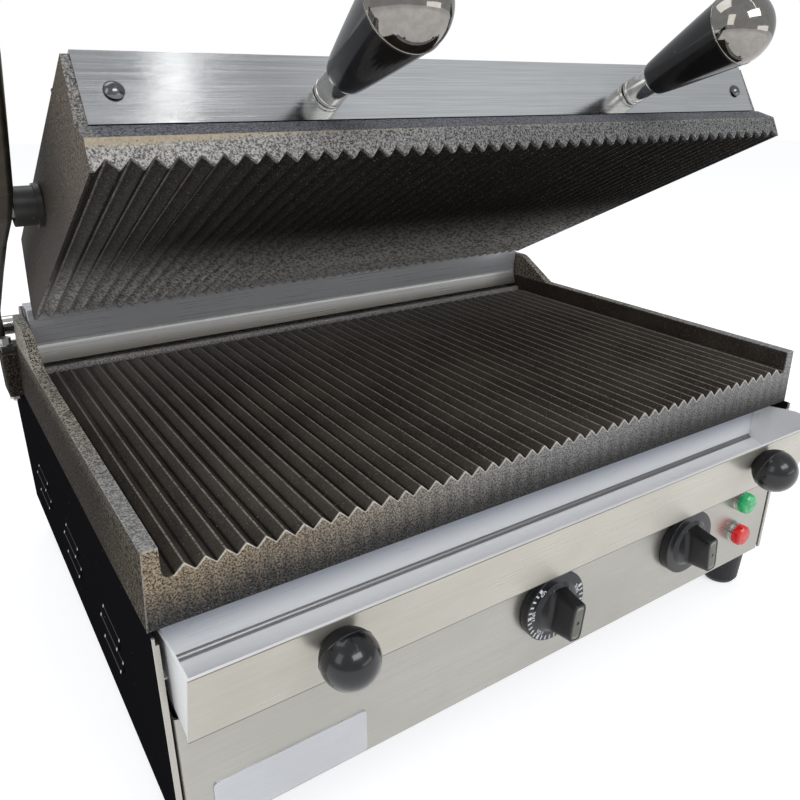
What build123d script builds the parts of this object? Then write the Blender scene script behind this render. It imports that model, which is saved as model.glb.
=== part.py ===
from build123d import *
import math
import os

# Contact grill with two ribbed cast plates, a folded steel base and a floating lid.
# All sizes are in millimetres. The model is laid out with X to the right, Y to the
# back from the front edge of the lower plate and Z up from the crests of its ribs,
# and is moved to its final origin, below the middle of its box, when it is written.

# Fits and clearances
running_gap = 0.05
seat_gap = 0.3
sheet = 1.2

# Ribs, the same on both plates, so that they nest when the grill is closed
rib_pitch = 10.0
rib_depth = 4.5
rib_flat = 0.7

# Lower plate
least_gutter = 10.0
gutter_corner = 2.0
plate_wall = 7.6
plate_side_set = 1.8
wall_rise = 12.0
plate_height = 30.0
plate_draft = 2.2
plate_skin = 9.0
plate_depth = 345.0
rib_back_gap = 45.0
rib_end_slope = 5.0
rear_channel = 5.0
channel_drop = 1.0
rear_lip = 4.0
rear_deck_drop = 3.0
ear_reach = 81.0
ear_rise = 22.0
ear_run = 39.0
ear_bend = 16.0
lug_reach = 10.0
lug_seat = 7.0
lug_bolt_radius = 2.5
lug_bolt_across = 8.0
lug_bolt_set = 12.0
lug_length = 33.0
lug_top = 3.0
lug_drop = 35.0
lug_corner = 3.0

# Guard behind the ribs
guard_side_gap = 0.8
guard_foot_gap = 1.0
guard_foot_z = 3.0
guard_bend_z = 16.0
guard_bend_lean = 4.0
guard_top_z = 44.5
guard_top_lean = 1.6
guard_top_flange = 25.0
guard_tab = 9.0
guard_foot_back_gap = 0.6
guard_screw_head_radius = 3.4

# Base box
base_height = 132.0
base_back_reach = 80.0
base_half_width = 250.0
panel_front = -5.4
return_width = 2.8
return_gap = 0.8
panel_corner = 3.0
panel_return = 16.0
panel_top = -80.3
panel_flange = 30.0
louvre_length = 40.0
louvre_height = 7.0
louvre_bulge = 2.4
louvre_first_y = 84.0
louvre_group_pitch = 110.0
louvre_top_z = -94.0
louvre_row_pitch = 16.5
foot_height = 32.0
foot_top_radius = 16.0
foot_shoulder_radius = 14.5
foot_bottom_radius = 12.0
foot_bevel = 4.0
foot_recess_radius = 7.0
foot_recess = 12.0
foot_side_inset = 22.0
foot_front_y = 13.0
foot_back_inset = 20.0
foot_screw_radius = 3.0
rear_deck_z = -8.0
turned_up_edge = 16.0
vent_columns = 4
vent_rows = 5
vent_length = 50.0
vent_width = 5.0
vent_side_margin = 68.8
vent_first_y = 110.0
vent_row_pitch = 40.0

# Drip tray in front of and under the front edge of the lower plate
tray_side_gap = 4.3
tray_top_y = -36.5
tray_foot_y = -22.6
tray_rim_z = -33.0
tray_foot_z = -80.0
tray_floor_front_z = -75.0
tray_floor_back_z = -67.0
tray_back_y = 21.0
tray_back_rim_z = -38.0
tray_hem = 9.0
tray_travel = 60.0
rail_top_z = -50.0
rail_foot_z = -61.0
rail_back_y = 110.0
rail_flange = 2.2
runner_lip_gap = 3.0
ball_radius = 15.0
ball_seat = 12.84
ball_inset = 73.2
ball_z = -49.5
ball_screw_radius = 2.5
ball_screw_reach = 12.0
ball_bore_depth = 13.0
ball_screw_head_radius = 3.4
ball_screw_head = 2.6

# Controls on the front panel
knob_z = -114.4
thermostat_x = 0.0
thermostat_lean = 6.0
selector_set = 68.6
selector_lean = -7.0
knob_gap = 0.5
skirt_radius = 25.2
skirt_thickness = 6.3
skirt_bevel = 1.0
boss_radius = 17.0
boss_rise = 1.8
grip_root_length = 30.6
grip_root_width = 14.0
grip_face_length = 26.8
grip_face_width = 10.5
grip_rise = 18.0
inlay_margin = 1.8
inlay_thickness = 0.6
spindle_radius = 3.0
spindle_reach = 12.0
control_body_width = 34.0
control_body_depth = 22.0
lamp_inset = 45.0
green_z = -103.0
red_z = -132.0
lens_radius = 7.2
lens_length = 5.2
neck_radius = 6.6
neck_length = 4.2
lamp_barrel_radius = 5.0
name_plate_inset = 18.6
name_plate_width = 90.9
name_plate_foot_z = -160.5
name_plate_height = 30.0
name_plate_thickness = 0.8

# Hinge at the rear, and how far the lid stands open at rest
hinge_back_set = 50.0
hinge_z = 13.8
open_angle = 25.64
shaft_radius = 7.8
bearing_inset = 14.0
bearing_length = 16.0
bearing_radius = 14.0
beam_front_gap = 5.0
beam_depth = 20.0
beam_thickness = 5.0
bolt_radius = 3.0
bolt_across = 10.0
bolt_head = 5.0
bolt_washer = 1.2
bolt_end = 7.0
spring_wall = 4.0
spring_start = 60.0
spring_length = 130.0

# Upper plate, laid out closed: u back from its front edge, w up from its rib hollows
lid_back_set = 7.2
closed_gap = 1.8
lid_side_gap = 3.6
lid_side_draft = 2.4
lid_back_gap = 5.3
lid_back_draft = 19.0
lid_height = 51.0
lid_rim_w = 9.0
lid_step_u = 10.0
lid_step_w = 18.0
lid_front_draft = 2.4
lid_skin = 9.0
lid_wall = 8.0
strip_inset = 6.0
strip_foot_w = 19.0
strip_top_flange = 9.0
strip_screw_inset = 14.0
strip_screw_w = 34.0
strip_screw_head = 5.35
strip_screw_radius = 2.5
strip_screw_reach = 18.0
strip_screw_rise = 3.1
cover_front_u = 24.0
cover_rise = 12.0
cover_slope = 22.0
cover_inset = 12.0
cover_back_slope = 14.0
cover_screw_inset = 30.0

# Arms of the yoke and the pivots of the upper plate
arm_side_gap = 1.4
arm_thickness = 12.0
arm_band = 25.0
arm_edge = 3.5
hub_radius = 14.0
pivot_forward = 1.55
pivot_w = 31.7
pivot_radius = 6.0
pivot_boss_radius = 11.0
pivot_boss_gap = 0.4
pivot_grip = 7.0

# Lid handles
handle_mid_x = -3.85
handle_spread = 0.46603
handle_w = 32.5
ferrule_radius = 8.0
ferrule_length = 18.5
grip_narrow = 10.3
grip_wide = 19.4
grip_length = 56.0
grip_edge = 1.6
cap_ring = 0.8
cap_length = 21.0
stud_radius = 4.0

# Heating elements on both plates
heater_radius = 4.25
heater_loops = 3
heater_margin = 12.4
heater_leg_gap = 72.0
heater_front = 34.0
heater_back_gap = 45.0
lid_heater_back_gap = 40.0
clamp_thickness = 3.0
clamp_width = 20.0
clamp_overhang = 12.0
clamp_back_gap = 40.0
clamp_mid_shift = 10.0
clamp_nut = 4.5
clamp_stud_end = 7.0
pad_thickness = 20.0
pad_front = 42.0
pad_back_gap = 17.0
pad_side_gap = 10.0

# Cable glands and the terminal block
gland_inset = 80.0
gland_rise = 42.0
gland_thread = 8.0
gland_hex = 11.5
gland_cap_length = 14.0
gland_bore = 4.2
upper_gland_inset = 75.0
terminal_pitch = 11.0
terminal_ways = 5
terminal_depth = 22.0
terminal_height = 20.0
terminal_back_gap = 48.0
terminal_from_gland = 70.0
terminal_bore = 2.6
terminal_wire_bore = 2.2
upper_gland_radius = 6.0

# Values that follow from the sizes above
outer_half = base_half_width - plate_side_set
inner_half = outer_half - plate_wall
rib_count = 2 * math.floor((inner_half - least_gutter) / rib_pitch) + 1
rib_half_span = rib_pitch * (rib_count - 1) / 2
gutter_x = rib_half_span + rib_pitch / 2
rib_length = plate_depth - rib_back_gap
ear_start = plate_depth - ear_reach
base_depth = plate_depth + base_back_reach
plate_bottom = -plate_height
skin_bottom = -rib_depth - plate_skin
base_bottom = plate_bottom - base_height
floor_z = base_bottom - foot_height
panel_inner = base_half_width - sheet
panel_half_width = base_half_width - return_width - return_gap
panel_back_face = panel_front + sheet
bottom_sheet_top = base_bottom + sheet
channel_front = rib_length
channel_back = channel_front + rear_channel
lip_back = channel_back + rear_lip
lug_back = plate_depth + lug_length
lug_outer = base_half_width + lug_reach
lug_inner = base_half_width - lug_seat
lug_bolt_x = (base_half_width + lug_outer) / 2
lug_bolt_y = plate_depth + lug_bolt_set
tray_half_width = panel_inner - tray_side_gap
ball_half_spacing = tray_half_width - ball_inset
lamp_x = base_half_width - lamp_inset
selector_x = lamp_x - selector_set
name_plate_left = name_plate_inset - base_half_width
hinge_y = plate_depth + hinge_back_set
bearing_outer = base_half_width - bearing_inset
beam_front_y = plate_depth + beam_front_gap
lid_half_width = inner_half - lid_side_gap
lid_length = lip_back - lid_back_gap - lid_back_set
strip_half_width = lid_half_width - strip_inset
strip_screw_x = strip_half_width - strip_screw_inset
cover_half_width = lid_half_width - cover_inset
arm_inner = base_half_width + arm_side_gap
pivot_u = lid_length / 2 - pivot_forward
handle_half_spacing = lid_half_width * handle_spread
heater_spacing = 2 * inner_half / heater_loops - heater_margin
heater_back = plate_depth - heater_back_gap
lid_heater_back = lid_length - lid_heater_back_gap
pad_back = plate_depth - pad_back_gap
gland_x = base_half_width - gland_inset
upper_gland_x = cover_half_width - upper_gland_inset
arm_outer = arm_inner + arm_thickness
strip_foot_u = lid_step_u + sheet * 0.7
body_front_u = strip_foot_u + sheet
strip_lean = lid_front_draft / (lid_height - strip_foot_w)
gland_z = base_bottom + gland_rise
tray_lean = (tray_foot_y - tray_top_y) / (tray_rim_z - tray_foot_z)
tray_tilt = math.atan(tray_lean)


def slab(x0, x1, y0, y1, z0, z1):
    """Box between two corners."""
    centre = Pos((x0 + x1) / 2, (y0 + y1) / 2, (z0 + z1) / 2)
    return centre * Box(abs(x1 - x0), abs(y1 - y0), abs(z1 - z0))


def rod_x(x0, x1, y, z, radius):
    """Cylinder along X between x0 and x1."""
    return Pos((x0 + x1) / 2, y, z) * Rot(Y=90) * Cylinder(radius, abs(x1 - x0))


def rod_y(y0, y1, x, z, radius):
    """Cylinder along Y between y0 and y1."""
    return Pos(x, (y0 + y1) / 2, z) * Rot(X=90) * Cylinder(radius, abs(y1 - y0))


def rod_z(z0, z1, x, y, radius):
    """Cylinder along Z between z0 and z1."""
    return Pos(x, y, (z0 + z1) / 2) * Cylinder(radius, abs(z1 - z0))


def hexagon(plane, across_flats, length):
    """Hexagon bar that stands on a plane."""
    return extrude(plane * RegularPolygon(across_flats / 2, 6, major_radius=False), length)


def side_face(points, x):
    """Face in the plane X = x from points given in Y and Z."""
    plane = Plane(origin=(x, 0, 0), x_dir=(0, 1, 0), z_dir=(1, 0, 0))
    return plane * make_face(Polyline(*points, close=True))


def side_prism(points, x0, x1):
    """Polygon given in Y and Z, carried along X from x0 to x1."""
    return extrude(side_face(points, x0), amount=x1 - x0, dir=(1, 0, 0))


def front_prism(points, y0, y1):
    """Polygon given in X and Z, carried along Y from y0 to y1."""
    plane = Plane(origin=(0, y0, 0), x_dir=(1, 0, 0), z_dir=(0, -1, 0))
    return extrude(plane * make_face(Polyline(*points, close=True)), amount=y1 - y0, dir=(0, 1, 0))


def flat_prism(points, z0, z1):
    """Polygon given in X and Y, carried along Z from z0 to z1."""
    plane = Plane(origin=(0, 0, z0))
    return extrude(plane * make_face(Polyline(*points, close=True)), amount=z1 - z0)


def turned(points, origin, axis):
    """Solid of revolution from points given as (along, radius), placed along an axis."""
    profile = [(radius, along) for along, radius in points]
    face = Plane.XZ * make_face(Polyline(*profile, close=True))
    return Plane(origin=origin, z_dir=axis) * revolve(face, Axis.Z)


def both_sides(shape):
    """A shape together with its mirror image across the middle plane."""
    return apart(shape, mirror(shape, about=Plane.YZ))


def apart(*shapes):
    """Solids kept separate in one group."""
    return Compound(children=[solid for shape in shapes for solid in shape.solids()])


def closed_lid(shape):
    """Carry a shape from the lid's own u and w to its closed place on the base."""
    return Pos(0, lid_back_set, closed_gap) * shape


def swing(shape):
    """Swing a closed shape open about the hinge axis."""
    to_hinge = Pos(0, hinge_y, hinge_z)
    return to_hinge * Rot(X=-open_angle) * to_hinge.inverse() * shape


def opened_lid(shape):
    """Carry a shape from the lid's own u and w to its open place at rest."""
    return swing(closed_lid(shape))


def tooth_line(outer_z, inner_z):
    """Saw-tooth line from left to right, at outer_z on every pitch and at inner_z between."""
    points = []
    for index in range(rib_count):
        x = -rib_half_span + index * rib_pitch
        points.append((x - rib_flat / 2, outer_z))
        points.append((x + rib_flat / 2, outer_z))
        if index < rib_count - 1:
            points.append((x + rib_pitch / 2 - rib_flat / 2, inner_z))
            points.append((x + rib_pitch / 2 + rib_flat / 2, inner_z))
    return points


def lower_plate():
    """Ribbed cooking plate with side walls, rear ears and hinge lugs, cast in one."""
    bevel = gutter_corner
    left = [(-outer_half - plate_draft, plate_bottom), (-outer_half, wall_rise), (-inner_half, wall_rise)]
    left += [(-inner_half, bevel - rib_depth), (-inner_half + bevel, -rib_depth), (-gutter_x, -rib_depth)]
    right = [(-x, z) for x, z in reversed(left)]
    body = front_prism(left + tooth_line(0, -rib_depth) + right, 0, plate_depth)
    ramp = channel_front - rib_end_slope
    floor = -rib_depth - channel_drop
    behind = plate_depth + 1
    rear = [(ramp, wall_rise), (ramp, 0), (channel_front, floor), (channel_back, floor), (channel_back, 0)]
    rear += [(lip_back, 0), (lip_back, -rear_deck_drop), (behind, -rear_deck_drop), (behind, wall_rise)]
    body -= side_prism(rear, -inner_half, inner_half)
    filling = [(channel_back, 0), (lip_back, 0), (lip_back, -rear_deck_drop)]
    filling += [(plate_depth, -rear_deck_drop), (plate_depth, floor - 1), (channel_back, floor - 1)]
    body += side_prism(filling, -inner_half, inner_half)
    skirt = plate_depth - plate_wall
    body -= slab(-inner_half, inner_half, plate_wall, skirt, plate_bottom - 1, skin_bottom)
    for side in (-1, 1):
        body += ear(side)
        body += lug(side)
    for x in guard_screw_places():
        body -= rod_z(-rear_deck_drop - 6, -rear_deck_drop + 1, x, guard_screw_y(), 2 + running_gap)
    return body


def ear(side):
    """Side wall swept up in an S to a flat top at the rear."""
    top = wall_rise + ear_rise
    outline = [(ear_start, wall_rise - 1), (ear_start, wall_rise), (ear_start + ear_run, top)]
    outline += [(plate_depth, top), (plate_depth, wall_rise - 1)]
    face = make_face(Polyline(*outline, close=True))
    bends = [v for v in face.vertices() if abs(v.X - ear_start - ear_run) < 0.01 and v.Y > wall_rise]
    face = fillet(bends, ear_bend)
    draft = plate_draft * ear_rise / (plate_height + wall_rise)
    plane = Plane(origin=(-inner_half, 0, 0), x_dir=(0, 1, 0), z_dir=(1, 0, 0))
    block = extrude(plane * face, amount=plate_wall, dir=(-1, 0, 0))
    wedge = [(-outer_half - 1, wall_rise - 1), (-outer_half - 1, top + 1), (-outer_half + draft, top + 1)]
    wedge += [(-outer_half + draft, top), (-outer_half, wall_rise), (-outer_half, wall_rise - 1)]
    block -= front_prism(wedge, ear_start - 1, plate_depth + 1)
    if side > 0:
        block = mirror(block, about=Plane.YZ)
    return block


def lug(side):
    """Lug behind the corner of the plate, which takes the bolt of the hinge beam."""
    foot = lug_top - lug_drop
    beyond = outer_half + plate_draft
    block = slab(side * lug_inner, side * beyond, plate_depth - 1, lug_back, plate_bottom, lug_top)
    outer = slab(side * beyond, side * lug_outer, plate_depth, lug_back, foot, lug_top)
    outer = fillet(outer.edges().filter_by(Axis.Z).sort_by(lambda e: abs(e.center().X))[-2:], lug_corner)
    block += outer
    return block - rod_z(foot - 1, lug_top + 1, side * lug_bolt_x, lug_bolt_y, lug_bolt_radius + running_gap)


def guard_screw_places():
    """Middles of the guard's screws along X."""
    return (-inner_half * 0.75, -inner_half * 0.25, inner_half * 0.25, inner_half * 0.75)


def guard_back_y():
    """Back face of the guard, above its foot."""
    return lip_back + guard_foot_gap + guard_top_lean + guard_top_flange


def guard_screw_y():
    return (guard_back_y() + plate_depth - guard_foot_back_gap) / 2


def splash_guard():
    """Folded stainless guard between the ears, behind the rear channel."""
    half = inner_half - guard_side_gap
    y0 = lip_back + guard_foot_gap
    y1 = y0 + guard_bend_lean
    y2 = y0 + guard_top_lean
    y3 = guard_back_y()
    y4 = plate_depth - guard_foot_back_gap
    deck = -rear_deck_drop
    outer = [(y0, guard_foot_z), (y1, guard_bend_z), (y2, guard_top_z), (y3, guard_top_z)]
    outer += [(y3, deck + sheet), (y4, deck + sheet), (y4, deck), (y3 - sheet, deck)]
    inner = [(y3 - sheet, guard_top_z - sheet), (y2 + sheet, guard_top_z - sheet)]
    inner += [(y1 + sheet, guard_bend_z), (y0 + sheet, guard_foot_z)]
    guard = side_prism(outer + inner, -half, half)
    end = [(y0, guard_foot_z), (y1, guard_bend_z), (y2, guard_top_z), (y2 + guard_tab, guard_top_z)]
    end += [(y1 + guard_tab, guard_foot_z)]
    guard += side_prism(end, -half, -half + sheet)
    guard += side_prism(end, half - sheet, half)
    for x in guard_screw_places():
        guard -= rod_z(deck - 1, deck + sheet + 1, x, guard_screw_y(), 2 + running_gap)
    return guard


def guard_screws():
    """Pan-head screws that hold the guard's foot on the plate."""
    deck = -rear_deck_drop
    made = []
    for x in guard_screw_places():
        screw = rod_z(deck - 5.5, deck + sheet, x, guard_screw_y(), 2)
        head = rod_z(deck + sheet, deck + sheet + 2.4, x, guard_screw_y(), guard_screw_head_radius)
        made.append(screw + head)
    return apart(*made)


def side_panel(side):
    """Black side panel with a bright front return and three groups of two louvres."""
    x1 = side * base_half_width
    x0 = side * panel_inner
    top = plate_bottom
    panel = slab(x0, x1, panel_front, base_depth - sheet, base_bottom, top)
    panel += slab(x1, x1 - side * return_width, panel_front, panel_front + sheet, base_bottom, top - 4)
    for group in range(3):
        y0 = louvre_first_y + group * louvre_group_pitch
        for row in range(2):
            z1 = louvre_top_z - row * louvre_row_pitch
            z0 = z1 - louvre_height
            swell = side * louvre_bulge
            scoop = [(x1 - side * 0.2, z1), (x1 + swell, z0), (x1 - side * 0.2, z0)]
            panel += front_prism(scoop, y0, y0 + louvre_length)
            gap = side * sheet
            mouth = [(x0 - gap, z1 - 2.2), (x1 - gap / 2, z1 - 2.2), (x1 + swell - gap, z0 - 0.1)]
            mouth += [(x0 - gap, z0 - 0.1)]
            panel -= front_prism(mouth, y0 + sheet, y0 + louvre_length - sheet)
    return panel


def front_panel():
    """Stainless front panel with rounded side returns and flanges above and below."""
    half = panel_half_width
    back = panel_front + panel_return
    corners = [(-half, back), (-half, panel_front), (half, panel_front), (half, back)]
    outline = make_face(Polyline(*corners, close=True))
    outline = fillet([v for v in outline.vertices() if v.Y < back - 1], panel_corner)
    inside = make_face(Polyline((-half + sheet, back + 1), (-half + sheet, panel_back_face),
                                (half - sheet, panel_back_face), (half - sheet, back + 1), close=True))
    inside = fillet([v for v in inside.vertices() if v.Y < back - 1], panel_corner - sheet)
    height = panel_top - base_bottom
    shell = extrude(outline, height) - extrude(inside, height)
    panel = Pos(0, 0, base_bottom) * shell
    flange = half - panel_corner
    back_edge = panel_front + panel_flange
    panel += slab(-flange, flange, panel_back_face, back_edge, panel_top - sheet, panel_top)
    lower = bottom_sheet_top
    lower_back = foot_front_y - bolt_across * 0.6 - 1
    panel += slab(-flange, flange, panel_back_face, lower_back, lower, lower + sheet)
    for x in (thermostat_x, selector_x):
        panel -= rod_y(panel_front - 1, panel_back_face + 1, x, knob_z, spindle_radius + 1.5)
    for z in (green_z, red_z):
        panel -= rod_y(panel_front - 1, panel_back_face + 1, lamp_x, z, lamp_barrel_radius + running_gap)
    return panel


def foot_places():
    """Centres of the four feet."""
    x = base_half_width - foot_side_inset
    return [(side * x, y) for y in (foot_front_y, base_depth - foot_back_inset) for side in (-1, 1)]


def bottom_panel():
    """Bottom sheet of the base with turned-up sides, vent slots and foot holes."""
    half = panel_inner - seat_gap
    y0 = panel_back_face + seat_gap
    y1 = base_depth - sheet - seat_gap
    z0 = base_bottom
    sheet_metal = slab(-half, half, y0, y1, z0, z0 + sheet)
    for side in (-1, 1):
        corner = panel_half_width - panel_corner - seat_gap
        sheet_metal -= slab(side * corner, side * (half + 1), y0 - 1, panel_front + panel_return + seat_gap,
                            z0 - 1, z0 + sheet + 1)
    for side in (-1, 1):
        inner = side * (half - sheet)
        sheet_metal += slab(side * half, inner, y0 + panel_return, y1, z0, z0 + turned_up_edge)
    vent_half_span = panel_inner - vent_side_margin
    vent_pitch = 2 * vent_half_span / (vent_columns - 1)
    for row in range(vent_rows):
        for column in range(vent_columns):
            x = -vent_half_span + column * vent_pitch
            y = vent_first_y + row * vent_row_pitch
            slot = rod_z(z0 - 1, z0 + sheet + 1, x - vent_length / 2, y, vent_width / 2)
            slot += rod_z(z0 - 1, z0 + sheet + 1, x + vent_length / 2, y, vent_width / 2)
            slot += slab(x - vent_length / 2, x + vent_length / 2, y - vent_width / 2, y + vent_width / 2,
                         z0 - 1, z0 + sheet + 1)
            sheet_metal -= slot
    for x, y in foot_places():
        sheet_metal -= rod_z(z0 - 1, z0 + sheet + 1, x, y, foot_screw_radius + running_gap)
    return sheet_metal


def foot_pads():
    """Four tapered feet with bevelled soles, recessed below for their screws."""
    made = []
    for x, y in foot_places():
        shoulder = floor_z + foot_bevel
        body = foot_height - foot_bevel
        foot = Pos(x, y, shoulder + body / 2) * Cone(foot_shoulder_radius, foot_top_radius, body)
        foot += Pos(x, y, floor_z + foot_bevel / 2) * Cone(foot_bottom_radius, foot_shoulder_radius, foot_bevel)
        foot -= rod_z(floor_z - 1, floor_z + foot_recess, x, y, foot_recess_radius)
        foot -= rod_z(floor_z - 1, base_bottom + 1, x, y, foot_screw_radius + running_gap)
        made.append(foot)
    return apart(*made)


def foot_screws():
    """Screws up through the feet, with nuts inside the base."""
    made = []
    head = floor_z + foot_recess
    inside = bottom_sheet_top
    for x, y in foot_places():
        screw = rod_z(head - 4, head, x, y, foot_recess_radius - 1.5)
        screw += rod_z(head - 1, inside + 9, x, y, foot_screw_radius)
        screw += hexagon(Plane(origin=(x, y, inside)), bolt_across, 5)
        made.append(screw)
    return apart(*made)


def rear_panel():
    """Folded rear panel with side cheeks and the deck under the hinge."""
    half = base_half_width
    y0 = plate_depth + seat_gap
    deck = rear_deck_z
    box = slab(-half, half, y0, base_depth, base_bottom, deck)
    box -= slab(-panel_inner, panel_inner, y0 - 1, base_depth - sheet, base_bottom - 1, deck - sheet)
    box -= slab(-half - 1, half + 1, y0 - 1, base_depth - sheet, base_bottom - 1, plate_bottom)
    for side in (-1, 1):
        notch = lug_inner - seat_gap
        box -= slab(side * notch, side * (half + 1), y0 - 1, lug_back + seat_gap, plate_bottom - 1, deck + 1)
    return box - rod_y(base_depth - 3, base_depth + 1, gland_x, gland_z, gland_thread + running_gap)


def cable_gland():
    """Gland for the mains lead, held by a nut inside the rear panel."""
    y = base_depth
    gland = rod_y(y - sheet - 8, y + 2, gland_x, gland_z, gland_thread)
    gland += hexagon(Plane(origin=(gland_x, y, gland_z), z_dir=(0, 1, 0)), 2 * gland_hex, 6)
    cap = Pos(gland_x, y + 6 + gland_cap_length / 2, gland_z) * Rot(X=-90)
    gland += cap * Cone(gland_hex - 1, gland_hex - 4, gland_cap_length)
    gland += rod_y(y - sheet - 5, y - sheet, gland_x, gland_z, gland_hex)
    return gland - rod_y(y - 20, y + gland_cap_length + 10, gland_x, gland_z, gland_bore)


def terminal_block():
    """Terminal block on the bottom sheet, inside the rear of the base."""
    z = bottom_sheet_top
    x = gland_x - terminal_from_gland
    back = base_depth - terminal_back_gap
    front = back - terminal_depth
    half = terminal_pitch * (terminal_ways + 0.5) / 2
    block = slab(x - half, x + half, front, back, z, z + terminal_height)
    for index in range(terminal_ways):
        place = x + (index - (terminal_ways - 1) / 2) * terminal_pitch
        middle = (front + back) / 2
        block -= rod_z(z + terminal_height * 0.6, z + terminal_height + 1, place, middle, terminal_bore)
        block -= rod_y(front - 1, back + 1, place, z + terminal_height * 0.35, terminal_wire_bore)
    return block


def name_plate():
    """Blank name plate on the front panel."""
    x0 = name_plate_left
    z0 = name_plate_foot_z
    plate = slab(x0, x0 + name_plate_width, panel_front - name_plate_thickness, panel_front,
                 z0, z0 + name_plate_height)
    return fillet(plate.edges().filter_by(Axis.Y), 2.5)


def control_body(x):
    """Rotary control behind the front panel, with its spindle."""
    half = control_body_width / 2
    y0 = panel_back_face
    body = slab(x - half, x + half, y0, y0 + control_body_depth, knob_z - half, knob_z + half)
    body = fillet(body.edges().filter_by(Axis.Y), 3)
    reach = panel_front - knob_gap - spindle_reach
    body += rod_y(reach, y0 + 1, x, knob_z, spindle_radius)
    for side in (-1, 1):
        body += slab(x + side * 9, x + side * 10, y0 + control_body_depth, y0 + control_body_depth + 9,
                     knob_z - 3, knob_z + 3)
    return body


def grip_plane(x, y, lean):
    """Plane across a bar grip, with its length leaning clockwise from upright by an angle."""
    up = (math.sin(math.radians(lean)), 0, math.cos(math.radians(lean)))
    return Plane(origin=(x, y, knob_z), x_dir=up, z_dir=(0, -1, 0))


def control_knob(x, lean):
    """Round skirt with a raised boss and a tapered bar grip, bored for the spindle."""
    y0 = panel_front - knob_gap
    y1 = y0 - skirt_thickness
    y2 = y1 - boss_rise
    skirt = [(0, 0), (0, skirt_radius), (skirt_thickness - skirt_bevel, skirt_radius)]
    skirt += [(skirt_thickness, skirt_radius - skirt_bevel), (skirt_thickness, boss_radius + boss_rise)]
    skirt += [(skirt_thickness + boss_rise, boss_radius), (skirt_thickness + boss_rise, 0)]
    knob = turned(skirt, (x, y0, knob_z), (0, -1, 0))
    root = grip_plane(x, y2, lean)
    face = grip_plane(x, y2 - grip_rise, lean)
    grip = loft([root * RectangleRounded(grip_root_length, grip_root_width, grip_root_width * 0.42),
                 face * RectangleRounded(grip_face_length, grip_face_width, grip_face_width * 0.42)])
    knob += grip
    knob -= extrude(face * inlay_outline(running_gap), -inlay_thickness)
    return knob - rod_y(y0 + 1, y0 - spindle_reach - seat_gap, x, knob_z, spindle_radius + running_gap)


def inlay_outline(gap):
    """Outline of the inlay, or of its recess with a gap all round."""
    length = grip_face_length - 2 * inlay_margin + 2 * gap
    width = grip_face_width - 2 * inlay_margin + 2 * gap
    return RectangleRounded(length, width, width * 0.45)


def knob_inlay(x, lean):
    """Thin metal inlay in the end of the bar grip, with a pointer dot."""
    y = panel_front - knob_gap - skirt_thickness - boss_rise - grip_rise
    face = grip_plane(x, y, lean)
    inlay = extrude(face * inlay_outline(0), -inlay_thickness)
    return inlay - rod_y(y - 1, y + 0.3, x, knob_z, 1.0)


def lamp_body(z):
    """Signal lamp: ribbed neck outside, barrel through the panel and nut inside."""
    y = panel_front
    rib = neck_length / 6
    points = [(-sheet - 16, 0), (-sheet - 16, lamp_barrel_radius), (0, lamp_barrel_radius)]
    for index in range(3):
        start = 2 * rib * index
        points += [(start, neck_radius), (start + rib, neck_radius)]
        points += [(start + rib, neck_radius - 0.7), (start + 2 * rib, neck_radius - 0.7)]
    points += [(neck_length, 0)]
    body = turned(points, (lamp_x, y, z), (0, -1, 0))
    return body + rod_y(y + sheet, y + sheet + 4, lamp_x, z, lamp_barrel_radius + 3)


def lamp_lens(z):
    """Coloured lens of a signal lamp, bevelled to a flat face."""
    flat = lens_radius - 1.8
    points = [(0, 0), (0, lens_radius), (lens_length - 1.2, lens_radius), (lens_length, flat)]
    points += [(lens_length, 0)]
    return turned(points, (lamp_x, panel_front - neck_length, z), (0, -1, 0))


def tray_wall_y(z):
    """Y of the tray's outer front face at a height."""
    return tray_top_y + (tray_rim_z - z) * tray_lean


def tray_floor_z(y):
    """Height of the tray's floor, top face, which falls to the front."""
    share = (y - tray_foot_y) / (tray_back_y - tray_foot_y)
    return tray_floor_front_z + share * (tray_floor_back_z - tray_floor_front_z)


def drip_tray():
    """Stainless drip tray with a leaning front, a sloping floor and two side rails."""
    front_y = tray_foot_y + sheet
    fold = tray_top_y + tray_hem * tray_lean
    section = [(tray_top_y, tray_rim_z), (tray_foot_y, tray_foot_z), (front_y, tray_foot_z)]
    section += [(tray_wall_y(tray_floor_front_z) + sheet, tray_floor_z(tray_foot_y) - sheet)]
    section += [(tray_back_y, tray_floor_back_z - sheet), (tray_back_y, tray_back_rim_z)]
    section += [(tray_back_y - sheet, tray_back_rim_z), (tray_back_y - sheet, tray_floor_back_z)]
    section += [(tray_wall_y(tray_floor_front_z) + sheet, tray_floor_z(tray_foot_y))]
    section += [(fold + sheet, tray_rim_z - tray_hem), (fold + 2 * sheet, tray_rim_z - tray_hem)]
    section += [(tray_top_y + 2 * sheet, tray_rim_z)]
    tray = side_prism(section, -tray_half_width, tray_half_width)
    end = [(tray_top_y, tray_rim_z), (tray_foot_y, tray_foot_z), (front_y, tray_foot_z)]
    end += [(front_y, tray_floor_z(tray_foot_y) - sheet), (tray_back_y, tray_floor_back_z - sheet)]
    end += [(tray_back_y, tray_back_rim_z), (tray_top_y + 24, tray_rim_z)]
    for side in (-1, 1):
        x1 = side * tray_half_width
        x0 = x1 - side * sheet
        tray += side_prism(end, min(x0, x1), max(x0, x1))
        tray += slab(x0, x1, tray_back_y - 2, rail_back_y, rail_foot_z, rail_top_z)
        tray += slab(x0, x1 + side * rail_flange, 2, rail_back_y, rail_foot_z, rail_foot_z + sheet)
    for side in (-1, 1):
        place = ball_place(side)
        tray -= turned([(-2, 0), (-2, ball_screw_radius + running_gap), (8, ball_screw_radius + running_gap),
                        (8, 0)], place, ball_inward())
    return tray


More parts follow.
